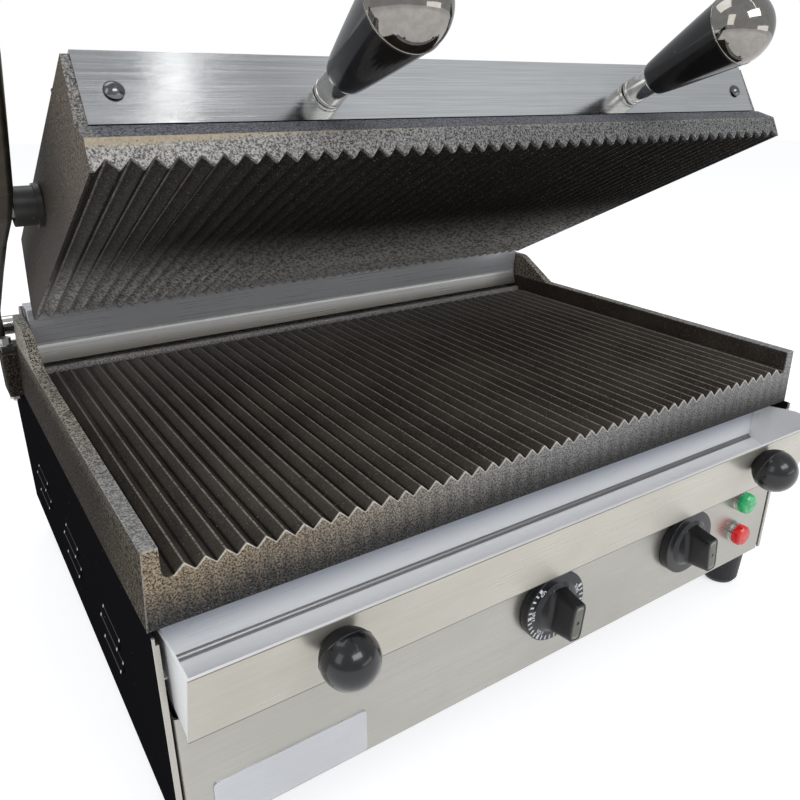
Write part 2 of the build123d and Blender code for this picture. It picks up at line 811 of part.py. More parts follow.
def ball_outward():
    """Direction out of the tray's leaning front face."""
    return (0, -math.cos(tray_tilt), -math.sin(tray_tilt))


def ball_inward():
    return (0, math.cos(tray_tilt), math.sin(tray_tilt))


def ball_place(side):
    """Point on the tray's front face where a ball knob sits."""
    lift = ball_seat * math.sin(tray_tilt)
    z = ball_z + lift
    return (side * ball_half_spacing, tray_wall_y(z), z)


def tray_knob(side):
    """Ball knob with a flat seat, bored for its screw."""
    seat = math.sqrt(ball_radius ** 2 - ball_seat ** 2)
    plane = Plane(origin=ball_place(side), z_dir=ball_outward())
    ball = Pos(0, 0, ball_seat) * Sphere(ball_radius)
    ball -= Pos(0, 0, -ball_radius) * Box(4 * ball_radius, 4 * ball_radius, 2 * ball_radius)
    ball += Pos(0, 0, 0.6) * Cylinder(seat - 0.5, 1.2)
    ball -= Pos(0, 0, ball_bore_depth / 2) * Cylinder(ball_screw_radius + running_gap, ball_bore_depth)
    return plane * ball


def tray_knob_screws():
    """Screws from inside the tray into the ball knobs."""
    made = []
    for side in (-1, 1):
        end = -sheet - ball_screw_head
        points = [(end, 0), (end, ball_screw_head_radius), (-sheet, ball_screw_head_radius)]
        points += [(-sheet, ball_screw_radius), (ball_screw_reach, ball_screw_radius), (ball_screw_reach, 0)]
        made.append(turned(points, ball_place(side), ball_outward()))
    return apart(*made)


def tray_runners():
    """Channels inside the side panels that the tray's rails slide in."""
    made = []
    for side in (-1, 1):
        x1 = side * panel_inner
        x0 = x1 - side * sheet
        lip = side * (tray_half_width + seat_gap + 0.2)
        low = rail_foot_z - seat_gap
        high = rail_foot_z + sheet + runner_lip_gap
        y0 = panel_front + panel_return + 2
        runner = slab(x0, x1, y0, rail_back_y + 8, low - sheet, high + sheet)
        runner += slab(lip, x1, y0, rail_back_y + 8, low - sheet, low)
        runner += slab(lip, x1, y0, rail_back_y + 8, high, high + sheet)
        made.append(runner)
    return apart(*made)


def heater_loop(y_front, y_back, x, z):
    """Tubular element: two legs along Y joined by a half round bend at the front."""
    turn = heater_leg_gap / 2
    bend_y = y_front + turn
    left = Line((x - turn, y_back, z), (x - turn, bend_y, z))
    bend = ThreePointArc((x - turn, bend_y, z), (x, y_front, z), (x + turn, bend_y, z))
    right = Line((x + turn, bend_y, z), (x + turn, y_back, z))
    path = Wire([left, bend, right])
    section = Plane(origin=(x - turn, y_back, z), z_dir=(0, -1, 0)) * Circle(heater_radius)
    return sweep(section, path=path)


def heater_places():
    """Middles of the heating loops along X."""
    first = -(heater_loops - 1) * heater_spacing / 2
    return [first + index * heater_spacing for index in range(heater_loops)]


def heaters(z, y_front, y_back):
    """Tubular heating loops side by side."""
    return apart(*[heater_loop(y_front, y_back, x, z) for x in heater_places()])


def clamp_places(y_front, y_back):
    """Middles of the clamp bars along Y."""
    return (y_front + heater_leg_gap, (y_front + y_back) / 2 + clamp_mid_shift, y_back - clamp_back_gap)


def clamp_stud_x():
    """Places of the clamp studs along X, between the loops and beside them."""
    return (-heater_spacing, 0, heater_spacing)


def clamp_bars(z0, z1, y_front, y_back):
    """Flat bars across the loops that hold them against the plate."""
    half = heater_places()[-1] + heater_leg_gap / 2 + clamp_overhang
    made = []
    for y in clamp_places(y_front, y_back):
        bar = slab(-half, half, y - clamp_width / 2, y + clamp_width / 2, z0, z1)
        for x in clamp_stud_x():
            bar -= rod_z(z0 - 1, z1 + 1, x, y, bolt_radius + running_gap)
        made.append(bar)
    return apart(*made)


def clamp_studs(skin, bar_outer, direction, y_front, y_back):
    """Studs from the plate's skin through the clamp bars, with their nuts."""
    made = []
    for y in clamp_places(y_front, y_back):
        for x in clamp_stud_x():
            tip = bar_outer + direction * clamp_stud_end
            stud = rod_z(min(skin, tip), max(skin, tip), x, y, bolt_radius)
            plane = Plane(origin=(x, y, bar_outer), z_dir=(0, 0, direction))
            made.append(stud + hexagon(plane, bolt_across, clamp_nut))
    return apart(*made)


lower_heater_z = skin_bottom - seat_gap - heater_radius
lower_bar_top = lower_heater_z - heater_radius - seat_gap
lower_bar_foot = lower_bar_top - clamp_thickness
lower_stud_foot = lower_bar_foot - clamp_stud_end
lower_pad_top = lower_stud_foot - seat_gap
lower_pad_foot = lower_pad_top - pad_thickness / 2


def lower_pad():
    """Insulating pad under the lower heaters."""
    half = inner_half - pad_side_gap
    return slab(-half, half, pad_front, pad_back, lower_pad_foot, lower_pad_top)


def lower_pad_tray():
    """Folded tray that carries the pad, hung under the plate's side walls."""
    half = inner_half - pad_side_gap + seat_gap + sheet
    y0 = pad_front - seat_gap - sheet
    y1 = pad_back + seat_gap + sheet
    tray = slab(-half, half, y0, y1, lower_pad_foot - sheet, plate_bottom)
    tray -= slab(-half + sheet, half - sheet, y0 + sheet, y1 - sheet, lower_pad_foot, plate_bottom + 1)
    for side in (-1, 1):
        x0 = side * (half - sheet)
        tray += slab(x0, side * (inner_half + 5), y0, y1, plate_bottom - sheet, plate_bottom)
    return tray


def hinge_beam():
    """Flat bar across the rear, bolted on the plate's lugs, which carries the bearings."""
    top = lug_top + beam_thickness
    beam = slab(-lug_outer + 1, lug_outer - 1, beam_front_y, beam_front_y + beam_depth - 3, lug_top, top)
    beam += slab(-lug_inner + 4, lug_inner - 4, beam_front_y, beam_front_y + beam_depth, lug_top, top)
    for side in (-1, 1):
        x = side * bearing_middle()
        beam -= rod_z(lug_top - 1, top + 1, side * lug_bolt_x, lug_bolt_y, lug_bolt_radius + running_gap)
        beam -= rod_z(lug_top - 1, top + 1, x, bearing_bolt_y(), bolt_radius + running_gap)
    return beam


def bearing_middle():
    return bearing_outer - bearing_length / 2


def bearing_bolt_y():
    return beam_front_y + beam_depth / 2 - 1


def bearing_blocks():
    """Two bearing blocks of the hinge shaft, each with a foot on the beam."""
    made = []
    top = lug_top + beam_thickness
    for side in (-1, 1):
        x0 = side * (bearing_outer - bearing_length)
        x1 = side * bearing_outer
        block = rod_x(x0, x1, hinge_y, hinge_z, bearing_radius)
        block += slab(x0, x1, hinge_y - bearing_radius, hinge_y + bearing_radius, rear_deck_z, hinge_z)
        block += slab(x0, x1, beam_front_y, hinge_y, top, top + 6)
        block -= rod_x(x0 - side, x1 + side, hinge_y, hinge_z, shaft_radius + running_gap)
        block -= rod_z(top - 1, top + 7, side * bearing_middle(), bearing_bolt_y(), bolt_radius + running_gap)
        made.append(block)
    return apart(*made)


def hinge_bolt(x, y, foot, seat, radius, across):
    """Hexagon bolt down from a seat, with a nut under a foot."""
    bolt = rod_z(foot - bolt_end, seat + 1, x, y, radius)
    bolt += rod_z(seat, seat + bolt_washer, x, y, across * 0.62)
    bolt += hexagon(Plane(origin=(x, y, seat + bolt_washer)), across, bolt_head)
    return bolt + hexagon(Plane(origin=(x, y, foot), z_dir=(0, 0, -1)), across, bolt_head)


def hinge_bolts():
    """Bolts of the beam on the lugs and of the bearing blocks on the beam."""
    made = []
    top = lug_top + beam_thickness
    for side in (-1, 1):
        foot = lug_top - lug_drop
        made.append(hinge_bolt(side * lug_bolt_x, lug_bolt_y, foot, top, lug_bolt_radius, lug_bolt_across))
        x = side * bearing_middle()
        made.append(hinge_bolt(x, bearing_bolt_y(), lug_top, top + 6, bolt_radius, bolt_across))
    return apart(*made)


def hinge_cover():
    """Folded cover over the shaft between the bearing blocks."""
    half = bearing_outer - bearing_length - 2
    y0 = beam_front_y + beam_depth + 2
    y1 = hinge_y + 24
    top = hinge_z + shaft_radius + spring_wall + sheet + 1
    outer = [(y0, rear_deck_z), (y0, top - 4), (y0 + 5, top), (y1 - 5, top), (y1, top - 4)]
    outer += [(y1, rear_deck_z), (y1 - sheet, rear_deck_z), (y1 - sheet, top - 4 - sheet / 2)]
    outer += [(y1 - 5 - sheet / 2, top - sheet), (y0 + 5 + sheet / 2, top - sheet)]
    outer += [(y0 + sheet, top - 4 - sheet / 2), (y0 + sheet, rear_deck_z)]
    return side_prism(outer, -half, half)


def balance_springs():
    """Closed sleeves in the place of the balance springs round the shaft, under the cover."""
    made = []
    for side in (-1, 1):
        x0 = side * spring_start
        x1 = side * (spring_start + spring_length)
        sleeve = rod_x(x0, x1, hinge_y, hinge_z, shaft_radius + spring_wall)
        made.append(sleeve - rod_x(x0 - side, x1 + side, hinge_y, hinge_z, shaft_radius + seat_gap))
    return apart(*made)


def hinge_shaft():
    """Round steel shaft from arm to arm."""
    return rod_x(-arm_outer - 6, arm_outer + 6, hinge_y, hinge_z, shaft_radius)


def shaft_caps():
    """Cap nuts on the shaft ends, outside the arms."""
    made = []
    for side in (-1, 1):
        x = side * arm_outer
        cap = rod_x(x, x + side * 1.4, hinge_y, hinge_z, shaft_radius + 4)
        plane = Plane(origin=(x + side * 1.4, hinge_y, hinge_z), z_dir=(side, 0, 0))
        cap += hexagon(plane, 2 * shaft_radius + 5, 6)
        made.append(cap - rod_x(x - side, x + side * (6 + running_gap), hinge_y, hinge_z,
                                shaft_radius + running_gap))
    return apart(*made)


arm_line = [(hinge_y - lid_back_set - 19.2, 30.5), (pivot_u + 122.0, 36.2), (pivot_u + 56.3, 38.5)]
arm_line += [(pivot_u + 3.3, 36.5), (pivot_u - 24.7, 40.5), (pivot_u - 58.7, 58.4), (pivot_u - 89.7, 76.0)]


def arm(side):
    """One arm of the yoke: hub on the shaft, level band over the pivot, raised nose."""
    hinge_u = hinge_y - lid_back_set
    hinge_w = hinge_z - closed_gap
    half = arm_band / 2
    upper = []
    lower = []
    for index, point in enumerate(arm_line):
        before = arm_line[max(index - 1, 0)]
        after = arm_line[min(index + 1, len(arm_line) - 1)]
        along = (after[0] - before[0], after[1] - before[1])
        length = math.hypot(along[0], along[1])
        normal = (along[1] / length, -along[0] / length)
        upper.append((point[0] + normal[0] * half, point[1] + normal[1] * half))
        lower.append((point[0] - normal[0] * half, point[1] - normal[1] * half))
    foot_u = hinge_u - hub_radius * 0.5
    outline = [(foot_u, lower[0][1] - 5)] + lower + list(reversed(upper)) + [(hinge_u + 3, upper[0][1] - 19)]
    x0 = side * arm_inner
    x1 = side * arm_outer
    band = side_prism(outline, min(x0, x1), max(x0, x1))
    band += rod_x(x0, x1, hinge_u, hinge_w, hub_radius)
    band += rod_x(x0, x1, arm_line[-1][0], arm_line[-1][1], half)
    rims = band.faces().filter_by(Axis.X).edges()
    band = fillet(rims, arm_edge)
    band -= rod_x(x0 - side, x1 + side, hinge_u, hinge_w, shaft_radius + running_gap)
    band -= rod_x(x0 - side, x1 + side, pivot_u, pivot_w, pivot_radius + running_gap)
    return band


def pivot_pins():
    """Shoulder bolts through the arms into the side walls of the upper plate."""
    made = []
    inner = lid_side_x(pivot_w) - pivot_grip
    for side in (-1, 1):
        pin = rod_x(side * inner, side * (arm_outer + 1), pivot_u, pivot_w, pivot_radius)
        pin += rod_x(side * arm_outer, side * (arm_outer + 4.5), pivot_u, pivot_w, pivot_radius + 3)
        plane = Plane(origin=(side * (arm_outer + 4.5), pivot_u, pivot_w), z_dir=(side, 0, 0))
        pin -= extrude(plane * RegularPolygon(3, 6, major_radius=False), -3)
        made.append(pin)
    return apart(*made)


def lid_side_x(w):
    """Half width of the upper plate's outer side at a height."""
    return lid_half_width - lid_side_draft * max(w, 0) / lid_height


def pivot_bosses():
    """Stepped bosses between the side walls of the upper plate and the arms."""
    made = []
    inner = lid_side_x(pivot_w - pivot_boss_radius - 1) + 0.05
    outer = arm_inner - pivot_boss_gap
    for side in (-1, 1):
        boss = rod_x(side * inner, side * outer, pivot_u, pivot_w, pivot_boss_radius)
        boss += rod_x(side * inner, side * (inner + 3), pivot_u, pivot_w, pivot_boss_radius + 1.2)
        made.append(boss - rod_x(side * (inner - 1), side * (outer + 1), pivot_u, pivot_w,
                                 pivot_radius + running_gap))
    return apart(*made)


def body_front_at(w):
    """U of the casting's front wall behind the strip at a height."""
    return body_front_u + (w - strip_foot_w) * strip_lean


def upper_plate():
    """Ribbed upper plate: an open-topped casting with a machined rim in front."""
    left = [(-lid_half_width + lid_side_draft, lid_height), (-lid_half_width, 0)]
    left += [(-lid_half_width, -rib_depth), (-gutter_x, -rib_depth)]
    right = [(-x, z) for x, z in reversed(left)]
    body = front_prism(left + tooth_line(0, -rib_depth) + right, 0, lid_length)
    outline = [(0, -rib_depth), (0, lid_rim_w), (lid_step_u, lid_step_w)]
    outline += [(body_front_at(lid_step_w), lid_step_w), (body_front_at(lid_height), lid_height)]
    outline += [(lid_length - lid_back_draft, lid_height)]
    outline += [(lid_length, lid_rim_w), (lid_length, -rib_depth)]
    body &= side_prism(outline, -lid_half_width, lid_half_width)
    front = body_front_at(lid_height) + lid_wall
    back = lid_length - lid_back_draft - lid_wall
    half = lid_half_width - lid_side_draft - lid_wall
    body -= slab(-half, half, front, back, lid_skin, lid_height + 1)
    for side in (-1, 1):
        hole = pivot_radius + running_gap
        body -= rod_x(side * (half - 1), side * (lid_half_width + 1), pivot_u, pivot_w, hole)
        body -= rod_y(0, front + 1, side * strip_screw_x, strip_screw_w, strip_screw_radius + running_gap)
        body -= rod_y(0, front + 1, handle_x(side), handle_w, stud_radius + running_gap)
    for x, y in cover_screw_places():
        body -= rod_z(lid_height - 9, lid_height + 1, x, y, 2 + running_gap)
    return body


def handle_x(side):
    return handle_mid_x + side * handle_half_spacing


def front_strip():
    """Stainless strip over the front of the casting, folded over its top edge."""
    foot = body_front_at(strip_foot_w)
    top = body_front_at(lid_height)
    outline = [(foot, strip_foot_w), (top, lid_height), (top + strip_top_flange, lid_height)]
    outline += [(top + strip_top_flange, lid_height + sheet), (top - sheet, lid_height + sheet)]
    outline += [(foot - sheet, strip_foot_w)]
    strip = side_prism(outline, -strip_half_width, strip_half_width)
    for side in (-1, 1):
        strip -= rod_y(0, top, side * strip_screw_x, strip_screw_w, strip_screw_radius + running_gap)
        strip -= rod_y(0, top, handle_x(side), handle_w, stud_radius + running_gap)
    return strip


def strip_screws():
    """Round-head screws near both ends of the front strip."""
    made = []
    face = body_front_at(strip_screw_w - strip_screw_head) - sheet
    for side in (-1, 1):
        head = strip_screw_head
        rise = strip_screw_rise
        dome = [(-strip_screw_reach, 0), (-strip_screw_reach, strip_screw_radius), (0, strip_screw_radius)]
        dome += [(0, head), (rise * 0.29, head * 0.953), (rise * 0.61, head * 0.776)]
        dome += [(rise * 0.87, head * 0.495), (rise, 0)]
        made.append(turned(dome, (side * strip_screw_x, face, strip_screw_w), (0, -1, 0)))
    return apart(*made)


def cover_screw_places():
    """Centres of the cover's screws, in X and u."""
    x = lid_half_width - lid_side_draft - lid_wall / 2
    ends = (cover_front_u + cover_screw_inset, lid_length - lid_back_draft - cover_screw_inset)
    return [(side * x, u) for u in ends for side in (-1, 1)]


def upper_cover():
    """Folded stainless cover on the casting, with a sloping front."""
    half = cover_half_width
    back = lid_length - lid_back_draft - 2
    base = lid_height
    top = base + cover_rise
    outer = [(cover_front_u, base), (cover_front_u + cover_slope, top)]
    outer += [(back - cover_back_slope, top), (back, base)]
    cover = side_prism(outer, -half, half)
    edge = sheet * 1.3
    hollow = [(cover_front_u + edge, base - 1), (cover_front_u + edge, base)]
    hollow += [(cover_front_u + cover_slope + sheet / 2, top - sheet)]
    hollow += [(back - cover_back_slope - sheet / 2, top - sheet)]
    hollow += [(back - edge, base), (back - edge, base - 1)]
    cover -= side_prism(hollow, -half + sheet, half - sheet)
    for side in (-1, 1):
        wide = lid_half_width - lid_side_draft - 0.5
        cover += slab(side * (half - sheet), side * wide, cover_front_u + 2, back - 2, base, base + sheet)
    for x, y in cover_screw_places():
        cover -= rod_z(base - 1, base + sheet + 1, x, y, 2 + running_gap)
    gland_hole = rod_z(base + sheet, top + 1, upper_gland_x, upper_gland_u(), upper_gland_radius + running_gap)
    return cover - gland_hole


def cover_screws():
    """Pan-head screws of the cover."""
    made = []
    seat = lid_height + sheet
    for x, y in cover_screw_places():
        made.append(rod_z(seat - 8, seat + 0.5, x, y, 2) + rod_z(seat, seat + 2.2, x, y, 3.2))
    return apart(*made)


upper_heater_w = lid_skin + seat_gap + heater_radius
upper_bar_foot = upper_heater_w + heater_radius + seat_gap
upper_bar_top = upper_bar_foot + clamp_thickness
upper_pad_foot = upper_bar_top + clamp_stud_end + seat_gap
upper_pad_top = lid_height - 1.0


def upper_pad():
    """Insulating pad inside the upper plate."""
    half = lid_half_width - lid_side_draft - lid_wall - 1
    front = body_front_at(lid_height) + lid_wall + 19
    back = lid_length - lid_back_draft - lid_wall - 1
    return slab(-half, half, front, back, upper_pad_foot, upper_pad_top)


def upper_gland_u():
    return lid_length - lid_back_draft - 60


def upper_gland():
    """Gland of the flexible lead in the back part of the cover, with its nut inside."""
    u = upper_gland_u()
    top = lid_height + cover_rise
    inside = top - sheet
    gland = hexagon(Plane(origin=(upper_gland_x, u, top)), 17, 5)
    gland += rod_z(inside - 6, top + 12, upper_gland_x, u, upper_gland_radius)
    gland += rod_z(inside - 4, inside, upper_gland_x, u, upper_gland_radius + 3)
    return gland - rod_z(inside - 8, top + 14, upper_gland_x, u, upper_gland_radius - 2.8)


def handle_seat(side):
    """Point on the strip's face where a handle starts."""
    return (handle_x(side), body_front_at(handle_w - ferrule_radius) - sheet, handle_w)


def handle_ferrule(side):
    """Turned steel neck of a handle."""
    bore = stud_radius + running_gap
    points = [(0, bore), (0, ferrule_radius), (ferrule_length, ferrule_radius - 0.3), (ferrule_length, bore)]
    return turned(points, handle_seat(side), (0, -1, 0))


def handle_grip(side):
    """Tapered black grip of a handle."""
    bore = stud_radius + running_gap
    start = ferrule_length
    points = [(start, bore), (start, grip_narrow - grip_edge), (start + grip_edge, grip_narrow)]
    for step in range(1, 6):
        share = step / 5
        radius = grip_narrow + (grip_wide - grip_narrow) * share ** 0.92
        points.append((start + grip_edge + (grip_length - grip_edge) * share, radius))
    points += [(start + grip_length, 0), (start + grip_length - 20, 0), (start + grip_length - 20, bore)]
    return turned(points, handle_seat(side), (0, -1, 0))


def handle_ring(side):
    """Thin bright ring between the grip and its cap."""
    start = ferrule_length + grip_length
    radius = grip_wide + 0.25
    points = [(start, 0), (start, radius), (start + cap_ring, radius), (start + cap_ring, 0)]
    return turned(points, handle_seat(side), (0, -1, 0))


def handle_cap(side):
    """Domed metal cap of a handle."""
    start = ferrule_length + grip_length + cap_ring
    lift = (cap_length ** 2 - grip_wide ** 2) / (2 * cap_length)
    dome = Pos(0, 0, lift) * Sphere(cap_length - lift)
    dome -= Pos(0, 0, -cap_length) * Box(4 * grip_wide, 4 * grip_wide, 2 * cap_length)
    x, y, z = handle_seat(side)
    return Plane(origin=(x, y - start, z), z_dir=(0, -1, 0)) * dome


def handle_studs():
    """Studs that hold the handles, with nuts inside the casting."""
    made = []
    inside = body_front_at(lid_height) + lid_wall
    for side in (-1, 1):
        x, y, z = handle_seat(side)
        reach = y - ferrule_length - grip_length + 22
        stud = rod_y(reach, inside + 9, x, z, stud_radius)
        stud += hexagon(Plane(origin=(x, inside, z), z_dir=(0, 1, 0)), 13, 6)
        made.append(stud)
    return apart(*made)


def write(name, shape):
    """Move a piece to the final origin and write it under its node's name."""
    front = ball_place(1)[1] - ball_seat * math.cos(tray_tilt) - ball_radius
    back = base_depth + 6 + gland_cap_length
    placed = Pos(0, -(front + back) / 2, -floor_z) * shape
    export_step(placed, "parts/" + name + ".step")
    return placed


def main():
    os.makedirs("parts", exist_ok=True)
    base = {
        "lower_plate": lower_plate(),
        "splash_guard": splash_guard(),
        "guard_screws": guard_screws(),
        "side_panel_left": side_panel(-1),
        "side_panel_right": side_panel(1),
        "front_panel": front_panel(),
        "bottom_panel": bottom_panel(),
        "rear_panel": rear_panel(),
        "foot_pads": foot_pads(),
        "foot_screws": foot_screws(),
        "cable_gland": cable_gland(),
        "terminal_block": terminal_block(),
        "name_plate": name_plate(),
        "control_bodies": apart(control_body(thermostat_x), control_body(selector_x)),
        "lamp_bodies": apart(lamp_body(green_z), lamp_body(red_z)),
        "lamp_lens_green": lamp_lens(green_z),
        "lamp_lens_red": lamp_lens(red_z),
        "tray_runners": tray_runners(),
        "lower_heaters": heaters(lower_heater_z, heater_front, heater_back),
        "lower_clamp_bars": clamp_bars(lower_bar_foot, lower_bar_top, heater_front, heater_back),
        "lower_clamp_studs": clamp_studs(skin_bottom, lower_bar_foot, -1, heater_front, heater_back),
        "lower_pad": lower_pad(),
        "lower_pad_tray": lower_pad_tray(),
        "hinge_beam": hinge_beam(),
        "bearing_blocks": bearing_blocks(),
        "hinge_bolts": hinge_bolts(),
        "hinge_cover": hinge_cover(),
        "balance_springs": balance_springs(),
    }
    lid = {
        "arm_left": arm(-1),
        "arm_right": arm(1),
        "pivot_pins": pivot_pins(),
        "upper_plate": upper_plate(),
        "pivot_bosses": pivot_bosses(),
        "front_strip": front_strip(),
        "strip_screws": strip_screws(),
        "upper_cover": upper_cover(),
        "cover_screws": cover_screws(),
        "upper_heaters": heaters(upper_heater_w, heater_front, lid_heater_back),
        "upper_clamp_bars": clamp_bars(upper_bar_foot, upper_bar_top, heater_front, lid_heater_back),
        "upper_clamp_studs": clamp_studs(lid_skin, upper_bar_top, 1, heater_front, lid_heater_back),
        "upper_pad": upper_pad(),
        "upper_gland": upper_gland(),
        "handle_ferrules": apart(handle_ferrule(-1), handle_ferrule(1)),
        "handle_grip_left": handle_grip(-1),
        "handle_grip_right": handle_grip(1),
        "handle_rings": apart(handle_ring(-1), handle_ring(1)),
        "handle_cap_left": handle_cap(-1),
        "handle_cap_right": handle_cap(1),
        "handle_studs": handle_studs(),
    }
    moving = {
        "hinge_shaft": hinge_shaft(),
        "shaft_caps": shaft_caps(),
        "drip_tray": drip_tray(),
        "tray_knob_left": tray_knob(-1),
        "tray_knob_right": tray_knob(1),
        "tray_knob_screws": tray_knob_screws(),
        "thermostat_knob": control_knob(thermostat_x, thermostat_lean),
        "selector_knob": control_knob(selector_x, selector_lean),
        "thermostat_inlay": knob_inlay(thermostat_x, thermostat_lean),
        "selector_inlay": knob_inlay(selector_x, selector_lean),
    }
    for name, shape in base.items():
        write(name, shape)
    for name, shape in lid.items():
        write(name, opened_lid(shape))
    for name, shape in moving.items():
        write(name, shape)
    print("nodes", len(base) + len(lid) + len(moving))


main()
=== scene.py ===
import math
import bpy
import numpy as np
from mathutils import Matrix, Vector
from types import SimpleNamespace


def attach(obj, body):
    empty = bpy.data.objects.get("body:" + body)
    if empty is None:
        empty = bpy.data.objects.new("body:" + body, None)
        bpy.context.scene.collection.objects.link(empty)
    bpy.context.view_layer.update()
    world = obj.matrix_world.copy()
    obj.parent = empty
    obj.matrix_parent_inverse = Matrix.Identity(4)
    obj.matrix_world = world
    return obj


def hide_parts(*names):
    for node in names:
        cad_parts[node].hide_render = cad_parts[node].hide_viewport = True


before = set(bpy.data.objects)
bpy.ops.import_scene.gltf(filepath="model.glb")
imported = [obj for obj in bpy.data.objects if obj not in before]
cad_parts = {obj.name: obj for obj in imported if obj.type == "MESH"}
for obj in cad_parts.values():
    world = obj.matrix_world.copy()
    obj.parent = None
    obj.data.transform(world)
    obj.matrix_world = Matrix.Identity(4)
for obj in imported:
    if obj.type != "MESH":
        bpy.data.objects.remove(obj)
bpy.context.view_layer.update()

# %% [markdown]
# This lesson dresses a contact grill: a countertop cooker with two ribbed iron plates, the
# upper one in a hinged yoke. The solid parts are there, in metres, and every new piece rides
# on one of their moving bodies.

# %% [markdown]
# The grill was drawn in millimetres from the front edge of its lower plate, level with the
# rib crests. These helpers give the frame's metres. The lid has its own directions, u back
# along the plate and w up from its hollows, and its points are turned about the hinge.

# %% From drawing sizes to the frame
MM = 0.001
MID_Y = 192.495
LIFT = 194.0
HINGE = np.array([395.0, 13.8])
LID_SEAT = np.array([7.2, 1.8])
OPEN = math.radians(25.64)
PANEL_FRONT = -5.4
RIB_PITCH = 10.0
RIB_DEPTH = 4.5


def at(points):
    """Drawing millimetres to frame metres."""
    return (np.asarray(points, float) - [0, MID_Y, -LIFT]) * MM


def on_lid(points):
    """Lid millimetres (x, u, w) to frame metres, turned open about the hinge."""
    p = np.asarray(points, float)
    y = p[..., 1] + LID_SEAT[0] - HINGE[0]
    z = p[..., 2] + LID_SEAT[1] - HINGE[1]
    turned_y = HINGE[0] + y * math.cos(OPEN) + z * math.sin(OPEN)
    turned_z = HINGE[1] - y * math.sin(OPEN) + z * math.cos(OPEN)
    return at(np.stack([p[..., 0], turned_y, turned_z], axis=-1))


print("front corner of the lid", on_lid([-237, 0, 0]).round(4))

# %% [markdown]
# The camera comes first, because it says how much detail each piece needs. It stands where
# the photographer stood: to the left, above, and so close that the plates run out of the
# picture. Its place and lens were solved from the ribs, whose pitch is known.

# %% The camera
EYE = at([-304.663, -288.951, 197.354])
HEADING = math.radians(33.406)
PITCH = math.radians(22.603)
ROLL = math.radians(-0.144)
FOCAL_PIXELS = 748.289
PICTURE = 800
SENSOR = 36.0

ahead = math.cos(PITCH)
forward = np.array([math.sin(HEADING) * ahead, math.cos(HEADING) * ahead, -math.sin(PITCH)])
level = np.array([math.cos(HEADING), -math.sin(HEADING), 0.0])
below = np.cross(forward, level)
right = math.cos(ROLL) * level + math.sin(ROLL) * below
down = -math.sin(ROLL) * level + math.cos(ROLL) * below
optics = bpy.data.cameras.new("camera")
optics.sensor_width = SENSOR
optics.lens = SENSOR * FOCAL_PIXELS / PICTURE
optics.clip_start = 0.01
optics.clip_end = 50
scene = bpy.context.scene


def linked(name, data):
    """New object in the scene."""
    obj = bpy.data.objects.new(name, data)
    scene.collection.objects.link(obj)
    return obj


camera = scene.camera = linked("camera", optics)
pose = np.eye(4)
pose[:3, 0], pose[:3, 1], pose[:3, 2], pose[:3, 3] = right, -down, -forward, EYE
camera.matrix_world = Matrix(pose.tolist())
print("lens", round(optics.lens, 2), "mm")

# %% [markdown]
# Colours are easiest to judge as the eye sees them, from 0 to 255, while a shader wants
# linear light. One line converts them, so the numbers below can be compared with a picture.

# %% Colours as the eye sees them
DUST = (150, 146, 140)


def tone(red, green, blue):
    """Display colour 0-255 as linear light: ((c + 0.055) / 1.055) to the power 2.4 above the toe."""
    c = np.array([red, green, blue]) / 255
    linear = np.where(c > 0.04045, ((c + 0.055) / 1.055) ** 2.4, c / 12.92)
    return (*[float(v) for v in linear], 1.0)


def scaled(colour, factor, raised=0.0):
    """A display colour made lighter or darker by a factor, below white, in linear light."""
    return tuple(min(c * factor + raised, 1.0) for c in tone(*colour)[:3]) + (1.0,)


print("mid grey", [round(v, 3) for v in tone(128, 128, 128)])

# %% [markdown]
# Materials are node trees. Short calls make, set and join their nodes, so that a material
# reads like a recipe: it keeps the colour so far, and each new colour is laid over it where a
# mask is 1. Places are given in millimetres.

# %% Helpers for node trees


class Value:
    """A node's output to reckon with: each operator adds its math node."""

    def __init__(self, recipe, socket):
        self.recipe, self.socket = recipe, socket

    __add__ = lambda a, b: a.recipe.math("ADD", a, b)
    __sub__ = lambda a, b: a.recipe.math("SUBTRACT", a, b)
    __rsub__ = lambda a, b: a.recipe.math("SUBTRACT", b, a)
    __mul__ = lambda a, b: a.recipe.math("MULTIPLY", a, b)
    __truediv__ = lambda a, b: a.recipe.math("DIVIDE", a, b)
    __rtruediv__ = lambda a, b: a.recipe.math("DIVIDE", b, a)
    __abs__ = lambda a: a.recipe.math("ABSOLUTE", a)


